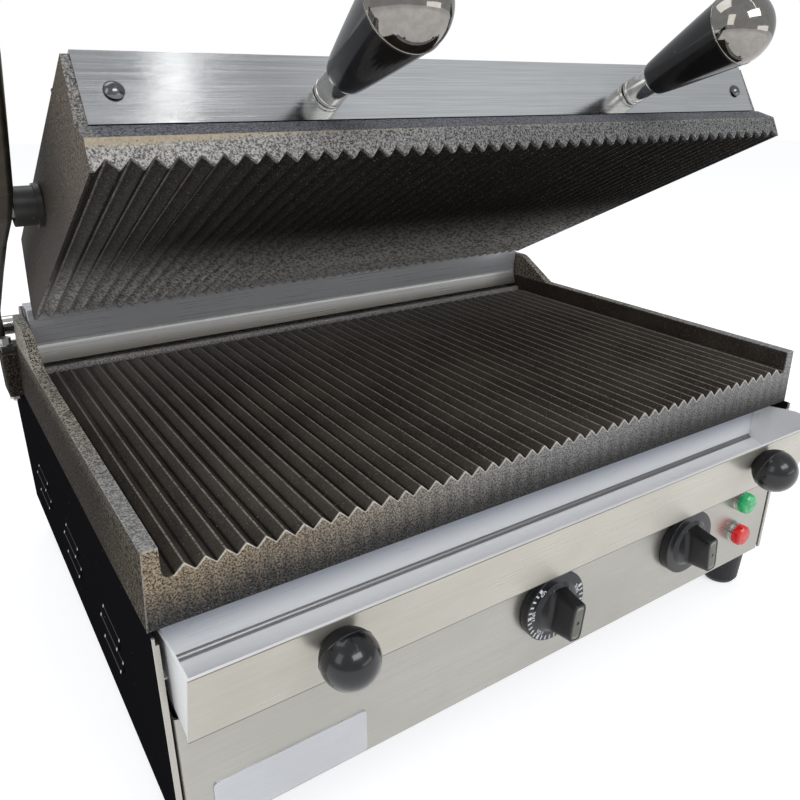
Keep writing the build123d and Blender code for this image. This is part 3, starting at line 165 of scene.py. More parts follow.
class Recipe:
    """A node tree under construction, with short calls to add and join nodes."""

    material = bsdf = tint = None

    def __init__(self, tree):
        self.tree = tree

    def put(self, node, name, value):
        """Sets or joins an input of a node, by number as i0 or by name with _ for spaces."""
        number = name[1:] if name[0] == "i" else ""
        socket = node.inputs[int(number) if number.isdigit() else name.replace("_", " ")]
        value = value.socket if isinstance(value, Value) else value
        if isinstance(value, bpy.types.NodeSocket):
            self.tree.links.new(value, socket)
        else:
            socket.default_value = value

    def add(self, kind, settings=None, **inputs):
        """Adds a node with settings and inputs."""
        node = self.tree.nodes.new("ShaderNode" + kind)
        for key, value in (settings or {}).items():
            setattr(node, key, value)
        for name, value in inputs.items():
            self.put(node, name, value)
        return node

    def value(self, kind, settings=None, output=0, **inputs):
        """Adds a node and returns one of its outputs."""
        return Value(self, self.add(kind, settings, **inputs).outputs[output])

    def look(self, **inputs):
        """Sets or joins inputs of the shader, and joins the colour so far."""
        base = {} if self.tint is None else {"Base_Color": self.tint}
        for name, value in {**base, **inputs}.items():
            self.put(self.bsdf, name, value)

    def math(self, operation, a, b=0.0):
        return self.value("Math", {"operation": operation}, i0=a, i1=b)

    def ramp(self, value, low, high, to_low=0.0, to_high=1.0):
        """Smooth step from one range to another, held at both ends."""
        return self.value("MapRange", {"interpolation_type": "SMOOTHSTEP"}, Value=value, From_Min=low,
                          From_Max=high, To_Min=to_low, To_Max=to_high)

    def span(self, length, start, end, *levels):
        """Smooth step of a length between two places in millimetres."""
        return self.ramp(length, start * MM, end * MM, *levels)

    def past(self, length, place, soft):
        """1 past a place in millimetres; a negative soft edge turns it over."""
        return self.span(length, place - soft, place + soft)

    def blend(self, share, a, b):
        """Mix of two colours, joined or given as the eye sees them."""
        a, b = (tone(*c) if isinstance(c, tuple) and len(c) == 3 else c for c in (a, b))
        return self.value("Mix", {"data_type": "RGBA"}, 2, i0=share, i6=a, i7=b)

    def lay(self, mask, colour):
        """Lays a colour over the colour so far, where the mask is 1."""
        self.tint = self.blend(mask, self.tint, colour)

    def lay_skin(self, mask, share, deep, pale):
        """Lays a skin of two colours over the colour so far."""
        self.lay(mask, self.blend(share, deep, pale))

    def noise(self, vector, scale, detail, roughness):
        return self.value("TexNoise", Vector=vector, Scale=scale, Detail=detail, Roughness=roughness)

    def cells(self, vector, scale, hue):
        """Cells of space: distance to the middle, and a random value of each cell."""
        cells = self.add("TexVoronoi", Vector=vector, Scale=scale).outputs
        channel = self.value("SeparateColor", output=hue, Color=cells["Color"])
        return Value(self, cells["Distance"]), channel

    def place(self):
        """The point on the piece in the frame's metres."""
        return self.value("TexCoord", output="Object")

    def part(self, vector, axis):
        """One coordinate of a vector."""
        return self.value("SeparateXYZ", output=axis, Vector=vector)

    def vector(self, operation, output, a, b):
        return self.value("VectorMath", {"operation": operation}, output, i0=a, i1=tuple(b))

    def facing(self, direction):
        """How far the surface faces a direction, from -1 to 1."""
        return self.vector("DOT_PRODUCT", "Value", self.value("TexCoord", output="Normal"), direction)

    def along(self, point, direction, origin):
        """Distance in metres along a direction from an origin."""
        return self.vector("DOT_PRODUCT", "Value", self.vector("SUBTRACT", 0, point, origin), direction)

    def relief(self, height, strength, distance):
        """Fine relief on the shader from a height, with a distance in millimetres."""
        self.look(Normal=self.value("Bump", Strength=strength, Distance=distance * MM, Height=height))

    def group(self, tree, **inputs):
        """Places a shared effect and returns its outputs by name."""
        node = self.add("Group", {"node_tree": tree}, **inputs)
        return {out.name: Value(self, out) for out in node.outputs}


def empty_tree(owner):
    """Recipe for the cleared node tree of a material or world."""
    owner.use_nodes = True
    owner.node_tree.nodes.clear()
    return Recipe(owner.node_tree)


def finish_of(name, **shader):
    """Recipe for a new material with one Principled shader."""
    material = bpy.data.materials.new(name)
    r = empty_tree(material)
    r.material, r.bsdf = material, r.add("BsdfPrincipled")
    r.add("OutputMaterial", Surface=r.bsdf.outputs[0])
    r.look(**shader)
    return r


def dress(r, *names):
    """Gives the finish of a recipe to the listed solids."""
    for name in names:
        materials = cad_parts[name].data.materials
        materials.clear()
        materials.append(r.material)


def effect(name, point, inputs, outputs):
    """Empty shared effect: its recipe and its inputs."""
    tree = bpy.data.node_groups.new(name, "ShaderNodeTree")
    new = tree.interface.new_socket
    new(point, in_out="INPUT", socket_type="NodeSocketVector")
    for label, value in inputs.items():
        new(label, in_out="INPUT", socket_type="NodeSocketFloat").default_value = value
    for label in outputs:
        new(label, in_out="OUTPUT", socket_type="NodeSocketFloat")
    r = Recipe(tree)
    return r, {out.name: Value(r, out) for out in tree.nodes.new("NodeGroupInput").outputs}


def close_effect(r, **values):
    """Joins the results of a shared effect to its outputs."""
    out = r.tree.nodes.new("NodeGroupOutput")
    for label, value in values.items():
        r.put(out, label, value)
    return r.tree


# %% [markdown]
# The grill stands on a pale floor that keeps its shadow and runs back into white. The white
# is what camera rays see, and the lamps stay at a plain level, so each colour renders about as
# it is written. The lid's front strip mirrors the narrow lamp as a bright band.

# %% Floor, world and lamps
FLOOR_HALF = 6.0
SQUARE = [(-1, -1), (1, -1), (1, 1), (-1, 1)]
FLOOR_GLOW = 0.62
SKY_LIGHT = 0.60

scene.view_settings.view_transform = "Standard"
floor_mesh = bpy.data.meshes.new("floor")
floor_mesh.from_pydata([(x * FLOOR_HALF, y * FLOOR_HALF, 0) for x, y in SQUARE], [], [(0, 1, 2, 3)])
floor = linked("floor", floor_mesh)
floor_paint = bpy.data.materials.new("floor_paint")
r = empty_tree(floor_paint)
path = r.add("LightPath").outputs
seen = r.math("MAXIMUM", path["Is Camera Ray"], path["Is Glossy Ray"])
glow = r.value("Emission", Strength=seen * FLOOR_GLOW)
matt = r.value("BsdfDiffuse", Color=(0.60, 0.60, 0.61, 1))
r.add("OutputMaterial", Surface=r.value("AddShader", i0=matt, i1=glow))
floor_mesh.materials.append(floor_paint)

world = bpy.data.worlds.new("studio")
scene.world = world
r = empty_tree(world)
path = r.add("LightPath").outputs
seen = r.math("MAXIMUM", path["Is Camera Ray"], path["Is Transmission Ray"])
light = r.value("Background", Color=(0.93, 0.96, 1.0, 1), Strength=SKY_LIGHT)
white = r.value("Background", Color=(1, 1, 1, 1), Strength=1.0)
r.add("OutputWorld", Surface=r.value("MixShader", i0=seen, i1=light, i2=white))


def lamp(name, place, target, size, watts, color=(1, 1, 1)):
    """Rectangular area lamp at a place, turned towards a target."""
    data = bpy.data.lights.new(name, "AREA")
    data.shape, data.energy, data.color = "RECTANGLE", watts, color
    data.size, data.size_y = size
    obj = linked(name, data)
    obj.location = place
    obj.rotation_mode = "QUATERNION"
    obj.rotation_quaternion = (Vector(target) - Vector(place)).to_track_quat("-Z", "Y")


lamp("lamp_over", (-0.5, 1.0, 2.3), (0, 0, 0.2), (1.8, 1.2), 12)
lamp("lamp_left", (-1.9, -0.6, 1.3), (0, 0, 0.3), (0.8, 1.2), 5, (1.0, 0.97, 0.92))
lamp("lamp_front", (0.1, -2.05, 1.9), (0, 0, 0.2), (1.6, 0.8), 23, (0.96, 0.98, 1.0))
lamp("lamp_low", (1.1, -2.0, 0.42), (0, 0, 0.25), (1.6, 0.35), 3.0, (1.0, 0.99, 0.97))
lamp("lamp_strip", (0.475, -1.2, 2.2), (0.475, -1.2, 0), (0.05, 1.3), 0.9)

# %% [markdown]
# Cast iron is never smooth: sand leaves a pitted skin, and grease and heat leave it patchy.
# One group makes masks of that skin at real sizes: grain of about a millimetre, patches of
# some centimetres, and single bright specks. Two more make the brushing of sheet, and smudges
# with dust. A group puts out only masks, and the shader stays in each material.

# %% Shared effects: cast skin, brushing and smudges
r, given = effect("cast_skin", "Point", {"Grain size": 1.3, "Patch size": 60.0},
                  ("Grain", "Patch", "Specks", "Height"))
point = given["Point"]
grain_scale = 1000.0 / given["Grain size"]
patch_scale = 1000.0 / given["Patch size"]
grain = r.noise(point, grain_scale, 3.0, 0.65)
middle, hue = r.cells(point, grain_scale * 1.15, 0)
specks = r.ramp(middle, 0.42, 0.12) * r.ramp(hue, 0.9, 0.97)
height = grain * 0.6 + r.noise(point, grain_scale * 0.33, 4.0, 0.6) * 0.6
patch = r.noise(point, patch_scale, 5.0, 0.62)
cast_skin = close_effect(r, Grain=grain, Patch=patch, Specks=specks, Height=height)

r, given = effect("brushing", "Point", {"Line width": 0.35}, ("Lines", "Clouds"))
point = given["Point"]
line_scale = 1000.0 / given["Line width"]
drawn = r.value("Mapping", Vector=point, Scale=(0.006, 1.0, 1.0))
lines = r.noise(drawn, line_scale, 3.0, 0.6) * 0.75 + r.noise(drawn, line_scale * 0.12, 2.0, 0.5) * 0.25
brushing = close_effect(r, Lines=lines, Clouds=r.noise(point, 7.0, 3.0, 0.5))

r, given = effect("smudges", "Point", {"Size": 30.0}, ("Smudge", "Dust"))
point = given["Point"]
smudge = r.ramp(r.noise(point, 1000.0 / given["Size"], 5.0, 0.6), 0.35, 0.7)
middle, hue = r.cells(point, 260.0, 1)
dust = r.ramp(middle, 0.16, 0.05) * r.ramp(hue, 0.93, 0.96)
smudges = close_effect(r, Smudge=smudge, Dust=dust)
print("shared effects", [t.name for t in bpy.data.node_groups])

# %% [markdown]
# The cooking plates are grey iron, seasoned to a brown black, and lighter where a cutter has
# been, on the rim and the wall tops; the pale crests are partly wear, partly painted highlight.
# One recipe starts both plates. It reads the place along and above the ribs from the point
# itself, for the lid in its open directions.

# %% Iron of the plates
WALL_IN, WALL_OUT, WALL_TOP = 240.0, 247.15, 11.4
WALL_DRAFT = 2.2 / 42.0
LIP_U = 304.0
RIM_HALF, RIM_TOP, SLOPE_TOP = 236.9, 9.1, 18.1
NOSE_HALF, FLANK_X = 230.5, 233.85
LID_BACK = (0.0, math.cos(OPEN), -math.sin(OPEN))
LID_UP = (0.0, math.sin(OPEN), math.cos(OPEN))


def rib_phase(r, x, shift):
    """1 on a rib crest and 0 in a hollow: a triangle wave of the rib pitch across the plate."""
    part = r.math("FRACT", x / (RIB_PITCH * MM) + (0.5 + shift))
    return 1.0 - abs(part - 0.5) * 2.0


def iron(name, origin, back, up, shift, hollow, crest_light, dark, light):
    """Sandy, patchy iron with black hollows and pale crests, partly wear and partly painted highlight: its
    recipe, places and masks.
    """
    r = finish_of(name, Specular_IOR_Level=0.14)
    point = r.place()
    skin = r.group(cast_skin, Point=point)
    sand = r.ramp(r.noise(point, 950.0, 3.0, 0.75), 0.38, 0.62)
    x = r.part(point, 0)
    u, w = r.along(point, back, origin), r.along(point, up, origin)
    phase = rib_phase(r, x, shift)
    rise = phase if hollow else 1.0 - phase
    r.tint = r.blend(r.ramp(skin["Patch"], 0.3, 0.7), dark, light)
    r.lay(sand * 0.26, (118, 110, 100))
    between = r.past(abs(x), WALL_IN, -0.5)
    ribbed = between * r.span(abs(w), 6.5, 5.0)
    r.lay(ribbed * r.ramp(rise, 0.26, 0.02, 0.0, 0.85), (10, 9, 8))
    # The pale crest lines are partly wear and partly a painted highlight of the rounded crests.
    crest_wear_and_highlight = ribbed * r.ramp(rise, 0.84, 0.98) * r.ramp(skin["Grain"], 0.34, 0.58)
    r.lay(crest_wear_and_highlight * crest_light, (184, 176, 164))
    tooth = (phase - hollow) * (RIB_DEPTH * MM)
    return r, SimpleNamespace(point=point, x=x, u=u, w=w, side=abs(x), tooth=tooth, between=between,
                              sand=sand, grain=skin["Grain"], patch=skin["Patch"], skin=skin)


def finish_iron(r, m, low, high, bumps, matt, metal):
    """Specks, roughness and relief; matt masks the raw outer walls."""
    r.lay(m.skin["Specks"] * 0.7, (170, 158, 142))
    sheen = r.ramp(m.grain, 0.3, 0.7, low, high)
    r.look(Roughness=r.math("MAXIMUM", sheen, matt * 0.95),
           Metallic=r.ramp(matt, 0.0, 1.0, metal, 0.0))
    r.relief(m.skin["Height"], bumps, 1.0)


# %% [markdown]
# On the lower plate the ribs fade to grey towards a lip at the back, whose grey grain is painted
# pale to make up for the shade under the guard. The front face is sand skin, browner at its left
# end and dark along its lower edge, with a painted highlight as a bright line along the teeth.
# The wall tops go from grey in front to mottled behind, with a painted highlight on their front
# corners, and the outer walls stay raw.

# %% Lower plate
lower_iron, m = iron("lower_iron", at([0, 0, 0]), (0, 1, 0), (0, 0, 1), 0.0, 1.0, 0.75,
                     (50, 46, 42), (80, 73, 66))
r, grain, sand = lower_iron, m.grain, m.sand
far = m.between * r.span(m.u, 170, 310, 0.0, 0.5) * (sand * 0.8 + 0.2)
r.lay(far, (150, 146, 140))
# Painted light: the lip's grey grain is painted much paler, to make up for the shade under the guard.
lip = r.past(m.u, LIP_U, 0.4) * m.between * r.span(m.w, -5.2, -3.0)
r.lay_skin(lip, sand, (126, 123, 119), (238, 234, 228))

under_edge = m.w - m.tooth
upper_part = r.span(under_edge + m.patch * 0.012, -20, 6)
rightward = r.span(m.x, -250, 20)
front_pale = r.blend(upper_part, (92, 90, 88), r.blend(rightward, (182, 165, 140), (170, 168, 166)))
front_deep = r.blend(upper_part, (34, 33, 32), r.blend(rightward, (66, 57, 48), (86, 85, 84)))
r.lay_skin(r.span(m.u, 1.1, 0.3), sand, front_deep, front_pale)

toward_rear = r.span(m.u, 30, 180)
mottle = r.ramp(grain * 0.7 + sand * 0.12, 0.36, 0.47)
wall_pale = r.blend(toward_rear, (172, 170, 167), (186, 178, 164))
wall_deep = r.blend(toward_rear, (114, 113, 112), (46, 42, 37))
r.lay_skin(r.past(m.w, WALL_TOP, 0.2), mottle, wall_deep, wall_pale)

outer = r.past(m.side, WALL_OUT, 0.65) * r.past(m.w, WALL_TOP, -0.2) * r.span(m.u, 0.3, 0.8)
outer_pale = r.blend(r.span(m.u, 100, 0), (68, 61, 52), (114, 104, 89))
outer_pale = r.blend(r.span(m.w, -1.0, 11.6), outer_pale, (124, 116, 104))
r.lay_skin(outer, mottle, (22, 20, 18), outer_pale)

drafted = m.side + (m.w - 0.012) * WALL_DRAFT
ends = r.math("MAXIMUM", r.span(m.w, 11.0, 11.6), r.span(drafted, 247.4, 248.0, 0.0, 0.5))
# Painted highlight: a pale edge on the front corners of the walls.
corner = r.span(m.u, 1.2, 0.5) * ends * r.ramp(grain, 0.36, 0.52) * (1.0 - m.between)
r.lay(corner, (182, 176, 166))
# Painted highlight: a bright line along the front edge of the teeth, where light catches it.
cut = r.span(m.u, 1.0, 0.3) * r.span(under_edge, -0.9, -0.4) * m.between * r.ramp(grain, 0.3, 0.45)
r.lay(cut, (214, 208, 198))
finish_iron(r, m, 0.40, 0.62, 0.5, outer, 0.25)

# %% [markdown]
# The lid's ribs are darker, but scraped grey in short strokes towards the back. Its rim is
# pale sand skin, fading to the right and worn to beige along its upper edge. Above it comes a
# dark sloped face, and the flanks are brown, with painted shade darkening them towards the back.

# %% Upper plate
upper_iron, m = iron("upper_iron", on_lid([0, 0, 0]), LID_BACK, LID_UP, 0.5, 0.0, 0.85,
                     (14, 13, 12), (25, 23, 21))
r, grain, sand = upper_iron, m.grain, m.sand
strokes = r.noise(r.value("Mapping", Vector=m.point, Scale=(1.2, 0.55, 1.0)), 420.0, 3.0, 0.75)
strokes = r.ramp(strokes, 0.44, 0.53) * 0.9 + 0.42
rear = r.span(m.u, 120, 290) * r.span(m.w, 4, 2) * strokes * r.span(m.x, -240, -100, 0.55, 1.0)
r.lay(rear, (246, 242, 236))

rim = r.span(m.u, 3.0, 1.2) * r.past(m.w, RIM_TOP, -0.3) * r.past(m.side, RIM_HALF, -0.3)
rightward = r.span(m.x, -230, 20)
rim_pale = r.blend(rightward, (192, 188, 183), (142, 141, 140))
rim_deep = r.blend(rightward, (82, 80, 78), (46, 45, 45))
r.lay_skin(rim, sand, rim_deep, rim_pale)
worn = m.w + (grain - 0.5) * 0.01 + r.span(m.x, -100, -235) * 0.0042
r.lay(rim * r.span(worn, 8.4, 10.2) * r.ramp(sand, 0.0, 1.0, 0.72, 0.95), (176, 162, 138))

slope = r.span(m.w, RIM_TOP - 0.1, RIM_TOP + 0.5) * r.past(m.w, SLOPE_TOP, -0.3) * r.span(m.u, 14, 12)
r.lay_skin(slope, sand, (40, 41, 46), (118, 119, 126))
nose = r.ramp(r.facing(LID_BACK), -0.6, -0.85) * r.past(m.w, SLOPE_TOP, 0.3)
nose = r.math("MAXIMUM", nose, slope * 0.6) * r.past(m.side, NOSE_HALF, 1.0)
r.lay_skin(nose, sand, (74, 72, 71), (160, 156, 151))

flank = r.ramp(abs(r.facing((1, 0, 0))), 0.8, 0.9) * r.past(m.side, FLANK_X, 0.35)
# Painted shade: the flanks darken towards the back, where the arm shades them.
flank_pale = r.blend(r.span(m.u, 110, 0), (82, 74, 66), (134, 122, 109))
r.lay_skin(flank, sand, (42, 38, 34), flank_pale)
finish_iron(r, m, 0.50, 0.74, 0.6, flank * 0.7, 0.08)
dress(lower_iron, "lower_plate")
dress(upper_iron, "upper_plate")
print("iron on", len(lower_iron.tree.nodes), "nodes")

# %% [markdown]
# Panels, guard, tray, strip and the lid's cover are folded stainless sheet, brushed from side
# to side. The fine lines along X tilt the reflection a little up and down, so they go into the
# height, and softly into roughness and colour.

# %% Brushed stainless and plain sheet


def stainless(name, colour, rough, line=0.35, tilt=0.06, contrast=0.10, metal=0.85):
    """Brushed sheet: fine lines along X and broad soft clouds."""
    r = finish_of(name, Metallic=metal, Specular_IOR_Level=0.4)
    point = r.place()
    brushed = r.group(brushing, Point=point, Line_width=line)
    lines = brushed["Lines"]
    smudge = r.group(smudges, Point=point, Size=55.0)["Smudge"]
    r.tint = r.blend(r.ramp(lines, 0.35, 0.65), scaled(colour, 1 - contrast), scaled(colour, 1 + contrast))
    r.lay(r.ramp(brushed["Clouds"], 0.35, 0.75, 0.0, 0.16), (150, 146, 138))
    r.lay(smudge * 0.07, (120, 108, 92))
    r.look(Roughness=r.ramp(lines, 0.3, 0.7, rough - 0.05, rough + 0.06) + smudge * 0.06)
    r.relief(lines, tilt, 0.4)
    return r


tray_steel = stainless("tray_steel", (202, 197, 185), 0.30, 0.5, 0.04, 0.06, 0.6)
strip_steel = stainless("strip_steel", (224, 225, 225), 0.11, 0.30, 0.06, 0.10, 1.0)
guard_steel = stainless("guard_steel", (214, 215, 219), 0.28, 0.8, 0.03, 0.04, 0.35)
plain_sheet = stainless("plain_sheet", (160, 160, 162), 0.42, 1.2, 0.05)
dress(stainless("panel_steel", (182, 180, 173), 0.30, 0.35, 0.05, 0.05), "front_panel", "upper_cover",
      "hinge_cover")
dress(tray_steel, "drip_tray")
dress(strip_steel, "front_strip")
dress(guard_steel, "splash_guard")
dress(stainless("plate_metal", (206, 208, 212), 0.30, 0.35, 0.03, 0.03, 0.5), "name_plate")
dress(plain_sheet, "bottom_panel", "rear_panel", "tray_runners", "lower_pad_tray", "lower_clamp_bars",
      "upper_clamp_bars")
print("stainless finishes made")

# %% [markdown]
# Inside, the tray is painted the brightest sheet: painted light on its floor, and a painted
# reflection that turns bluer towards the top of its back wall, with a painted shadow as a dark
# line along its foot. The guard has a grey upper face, a painted highlight along its bend and
# painted shade on its lower face, darkening towards the plate. The lid's strip is painted
# darker towards its ends, a painted reflection. All are told by their place, so they stay on
# the metal when it moves.

# %% Painted light and shade inside the tray, on the guard and on the strip
TRAY_TOP = (-36.5, -33.0)
TRAY_LEAN = math.atan(13.9 / 47.0)
TRAY_FOOT_Z, TRAY_FLOOR_Z, GUARD_BEND_Z = -80.0, -67.0, 16.0


def behind(r, y):
    """Distance of the point behind a drawing depth, in metres."""
    return r.along(r.place(), (0, 1, 0), at([0.0, y, 0.0]))


def above(r, z):
    """Height of the point above a drawing level, in metres."""
    return r.along(r.place(), (0, 0, 1), at([0.0, 0.0, z]))


r = tray_steel
# Painted light and reflection: the inside is painted near white where the plate above shades it, and bluer
# up the back wall.
back_wall_painted_reflection = r.blend(r.span(above(r, TRAY_FLOOR_Z), 4, 24), (250, 251, 252), (198, 202, 212))
inside_painted_light = r.blend(r.span(behind(r, 0.0), 18.5, 19.5), (250, 250, 251), back_wall_painted_reflection)
front_inward = (0, math.cos(TRAY_LEAN), math.sin(TRAY_LEAN))
inside = r.span(r.along(r.place(), front_inward, at([0, *TRAY_TOP])), 0.5, 0.9)
r.lay(inside, inside_painted_light)
# Painted shadow: a dark line along the tray's foot, in the gap above the panel.
r.lay(r.span(above(r, TRAY_FOOT_Z), 1.1, 0.5) * 0.8, (84, 82, 77))
r.look(Metallic=r.ramp(inside, 0.0, 1.0, 0.60, 0.12))

r = guard_steel
above_bend = above(r, GUARD_BEND_Z)
# Painted shade: the lower face darkens towards the plate.
lower_face_painted_shade = r.blend(r.span(above_bend, -13, -1), (130, 124, 114), (210, 208, 204))
r.lay(r.past(above_bend, 0.0, -0.4), lower_face_painted_shade)
# Painted highlight: a bright line along the bend.
r.lay(r.span(abs(above_bend), 2.1, 1.2), (250, 250, 248))
r.look()

r = strip_steel
strip_x = r.part(r.place(), 0)
# Painted reflection: the mirror strip is painted darker towards its ends, where it mirrors darker
# surroundings.
r.lay(r.span(strip_x, -90, -150, 0.0, 0.38) + r.span(strip_x, 20, 200, 0.0, 0.28), (118, 120, 121))
r.look()
print("tray, guard and strip finished")

# %% [markdown]
# The side panels are painted gloss black, with faint orange peel and dust, and their cut front
# edge shows bright metal. The light that the pressed louvres catch is painted into the colour,
# as small painted glints near their ends and thin painted highlights along their edges.

# %% Gloss black paint
EDGE_WIDTH = 1.15
LOUVRE_Y, LOUVRE_STEP, LOUVRE_LONG = 84.0, 110.0, 40.0
LOUVRE_EDGES = (-94.6, -100.4, -111.1, -116.9)
GLINT_INSET = 1.4


def paint(name, colour, rough, gloss=0.4):
    """Gloss paint with orange peel and a little dust."""
    r = finish_of(name, Specular_IOR_Level=gloss)
    wear = r.group(smudges, Point=r.place(), Size=40.0)
    r.tint = colour
    r.lay(wear["Dust"] * 0.6, DUST)
    r.look(Roughness=r.ramp(wear["Smudge"], 0.0, 1.0, rough, rough + 0.08))
    r.relief(r.noise(r.place(), 420.0, 2.0, 0.4), 0.05, 0.4)
    return r


side_paint = r = paint("side_paint", (26, 26, 28), 0.25, 0.0)
edge = r.span(behind(r, PANEL_FRONT), EDGE_WIDTH, EDGE_WIDTH + 0.2, 1.0, 0.0)
r.lay(edge, (186, 182, 174))
groups = behind(r, LOUVRE_Y) / (LOUVRE_STEP * MM)
on_row = r.ramp(groups, -0.004, 0.0) * r.ramp(groups, 2.9, 2.8)
along_louvre = r.math("FRACT", groups) * LOUVRE_STEP
from_ends = [abs(along_louvre - place) for place in (GLINT_INSET, LOUVRE_LONG - GLINT_INSET)]
from_edge = abs(above(r, LOUVRE_EDGES[0]))
for z in LOUVRE_EDGES[1:]:
    from_edge = r.math("MINIMUM", from_edge, abs(above(r, z)))
# Painted highlights: thin lines along the louvres' edges, and small glints near their ends.
louvre_edge_highlight = on_row * r.ramp(along_louvre, LOUVRE_LONG + 0.5, LOUVRE_LONG) * r.span(from_edge, 0.6, 0.2)
r.lay(louvre_edge_highlight * 0.5, (110, 110, 112))
glint = on_row * r.ramp(r.math("MINIMUM", *from_ends), 1.2, 0.5) * r.span(from_edge, 1.3, 0.6)
r.lay(glint, (226, 224, 218))
r.look(Metallic=edge * 0.85)
dress(side_paint, "side_panel_left", "side_panel_right")
dress(paint("dark_steel", (44, 42, 40), 0.38), "hinge_beam", "bearing_blocks", "pivot_bosses")
print("side paint on", len(side_paint.tree.nodes), "nodes")

# %% [markdown]
# Small metal parts are turned or pressed, then plated or polished. They share one recipe,
# whose slight unevenness keeps a mirror from looking drawn.

# %% Turned and plated metal


def metal(name, colour, rough, uneven=0.06, scale=300.0):
    """Plain metal with slightly uneven polish."""
    r = finish_of(name, Metallic=1.0)
    cloud = r.noise(r.place(), scale, 3.0, 0.55)
    r.tint = r.blend(r.ramp(cloud, 0.35, 0.65), scaled(colour, 0.86), colour)
    r.look(Roughness=r.ramp(cloud, 0.3, 0.7, rough, rough + uneven))
    r.relief(cloud, 0.04, 0.3)
    return r


head_steel = metal("head_steel", (112, 112, 114), 0.16)
bright_steel = metal("bright_steel", (208, 206, 202), 0.14)
chrome = metal("chrome", (150, 146, 140), 0.06, 0.03)
inlay_metal = metal("inlay_metal", (112, 112, 104), 0.30)
dress(metal("screw_steel", (178, 176, 172), 0.28), "guard_screws", "foot_screws", "strip_screws",
      "cover_screws", "lower_clamp_studs", "upper_clamp_studs", "hinge_bolts", "shaft_caps", "pivot_pins",
      "tray_knob_screws", "handle_studs")
dress(bright_steel, "hinge_shaft", "balance_springs", "handle_ferrules", "lamp_bodies")
dress(chrome, "handle_cap_left", "handle_cap_right", "handle_rings")
dress(metal("arm_finish", (98, 92, 82), 0.40, 0.10, 160.0), "arm_left", "arm_right")
dress(metal("sheath", (120, 112, 104), 0.45), "lower_heaters", "upper_heaters")
dress(inlay_metal, "thermostat_inlay", "selector_inlay")
print("turned and plated metals made")

# %% [markdown]
# Grips, ball knobs and dials are polished black phenolic: a dark body under a clear gloss.
# Feet and glands are the same plastic left matt. The pads are pale fibre board, and the signal
# lenses are clear plastic in two colours.

# %% Black plastics, fibre board and lenses


def plastic(name, colour, rough, swirl=0.03, grain=900.0, coat=0.0):
    """Moulded plastic with fine surface grain and uneven gloss."""
    r = finish_of(name, Coat_Weight=coat, Coat_Roughness=0.06, Specular_IOR_Level=0.35)
    wear = r.group(smudges, Point=r.place(), Size=22.0)
    r.tint = r.blend(wear["Smudge"] * 0.5, colour, scaled(colour, 1.5, 0.004))
    r.lay(wear["Dust"] * 0.4, DUST)
    r.look(Roughness=r.ramp(wear["Smudge"], 0.0, 1.0, rough, rough + 0.10))
    r.relief(r.noise(r.place(), grain, 3.0, 0.6), swirl, 0.3)
    return r


gloss_black = plastic("gloss_black", (18, 17, 17), 0.16, 0.02, 900.0, 0.3)
dial_black = plastic("dial_black", (22, 22, 24), 0.27, 0.04, 1200.0, 0.15)
ball_black = plastic("ball_black", (15, 15, 18), 0.24, 0.015, 700.0, 0.5)
foot_black = plastic("foot_black", (34, 34, 35), 0.45, 0.15, 1500.0)
hole_black = plastic("hole_black", (12, 12, 12), 0.5)
dress(gloss_black, "handle_grip_left", "handle_grip_right", "tray_knob_left", "tray_knob_right")
dress(dial_black, "thermostat_knob", "selector_knob")
dress(foot_black, "foot_pads")
dress(plastic("gland_black", (44, 44, 44), 0.5, 0.15, 1500.0), "cable_gland", "upper_gland",
      "terminal_block", "control_bodies")

fibre = r = finish_of("fibre", Roughness=0.95)
threads = r.noise(r.place(), 700.0, 6.0, 0.7)
r.look(Base_Color=r.blend(r.ramp(threads, 0.3, 0.7), (205, 196, 176), (234, 228, 214)))
r.relief(threads, 0.5, 1.0)
dress(fibre, "lower_pad", "upper_pad")


def lens(name, colour, glow):
    """Translucent signal lens, with a little glow from within."""
    r = finish_of(name, Roughness=0.18, IOR=1.49, Emission_Strength=0.30, Transmission_Weight=0.25)
    cloud = r.ramp(r.noise(r.place(), 220.0, 2.0, 0.4), 0.35, 0.65)
    tint = r.blend(cloud * 0.6, colour, glow)
    r.look(Base_Color=tint, Emission_Color=tint)
    return r


green_lens = lens("green_lens", (20, 150, 84), (90, 205, 140))
red_lens = lens("red_lens", (190, 22, 26), (228, 60, 60))
dress(green_lens, "lamp_lens_green")
dress(red_lens, "lamp_lens_red")
print("bare nodes", [name for name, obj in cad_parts.items() if not obj.data.materials])

# %% [markdown]
# Every new piece is a closed surface, mostly of rings: a row of points round the piece,
# repeated along it. Point j of ring i joins its neighbours, and both ends close in one middle
# point. If the volume under the faces is negative, they point inwards and are turned over.

# %% Surfaces from rings


def ring_faces(count, around):
    """Quads between rings: corner (i, j) with (i, j+1), (i+1, j+1), (i+1, j), j wrapping round."""
    i = np.arange(count - 1)[:, None] * around
    j = np.arange(around)[None, :]
    k = (j + 1) % around
    return np.stack([i + j, i + k, i + around + k, i + around + j], axis=-1).reshape(-1, 4)


def outward(points, faces):
    """Turns the faces over when the volume under them, the sum of a . (b x c) / 6, is negative."""
    volume = 0.0
    for face in faces:
        a = points[face[:, 0]]
        for n in range(1, face.shape[1] - 1):
            volume += np.einsum("ij,ij->i", a, np.cross(points[face[:, n]], points[face[:, n + 1]])).sum()
    return [face[:, ::-1] for face in faces] if volume < 0 else faces


def placed(name, mesh, body):
    """Puts a mesh into the scene as a piece that rides on a body."""
    obj = linked(name, mesh)
    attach(obj, body)
    return obj


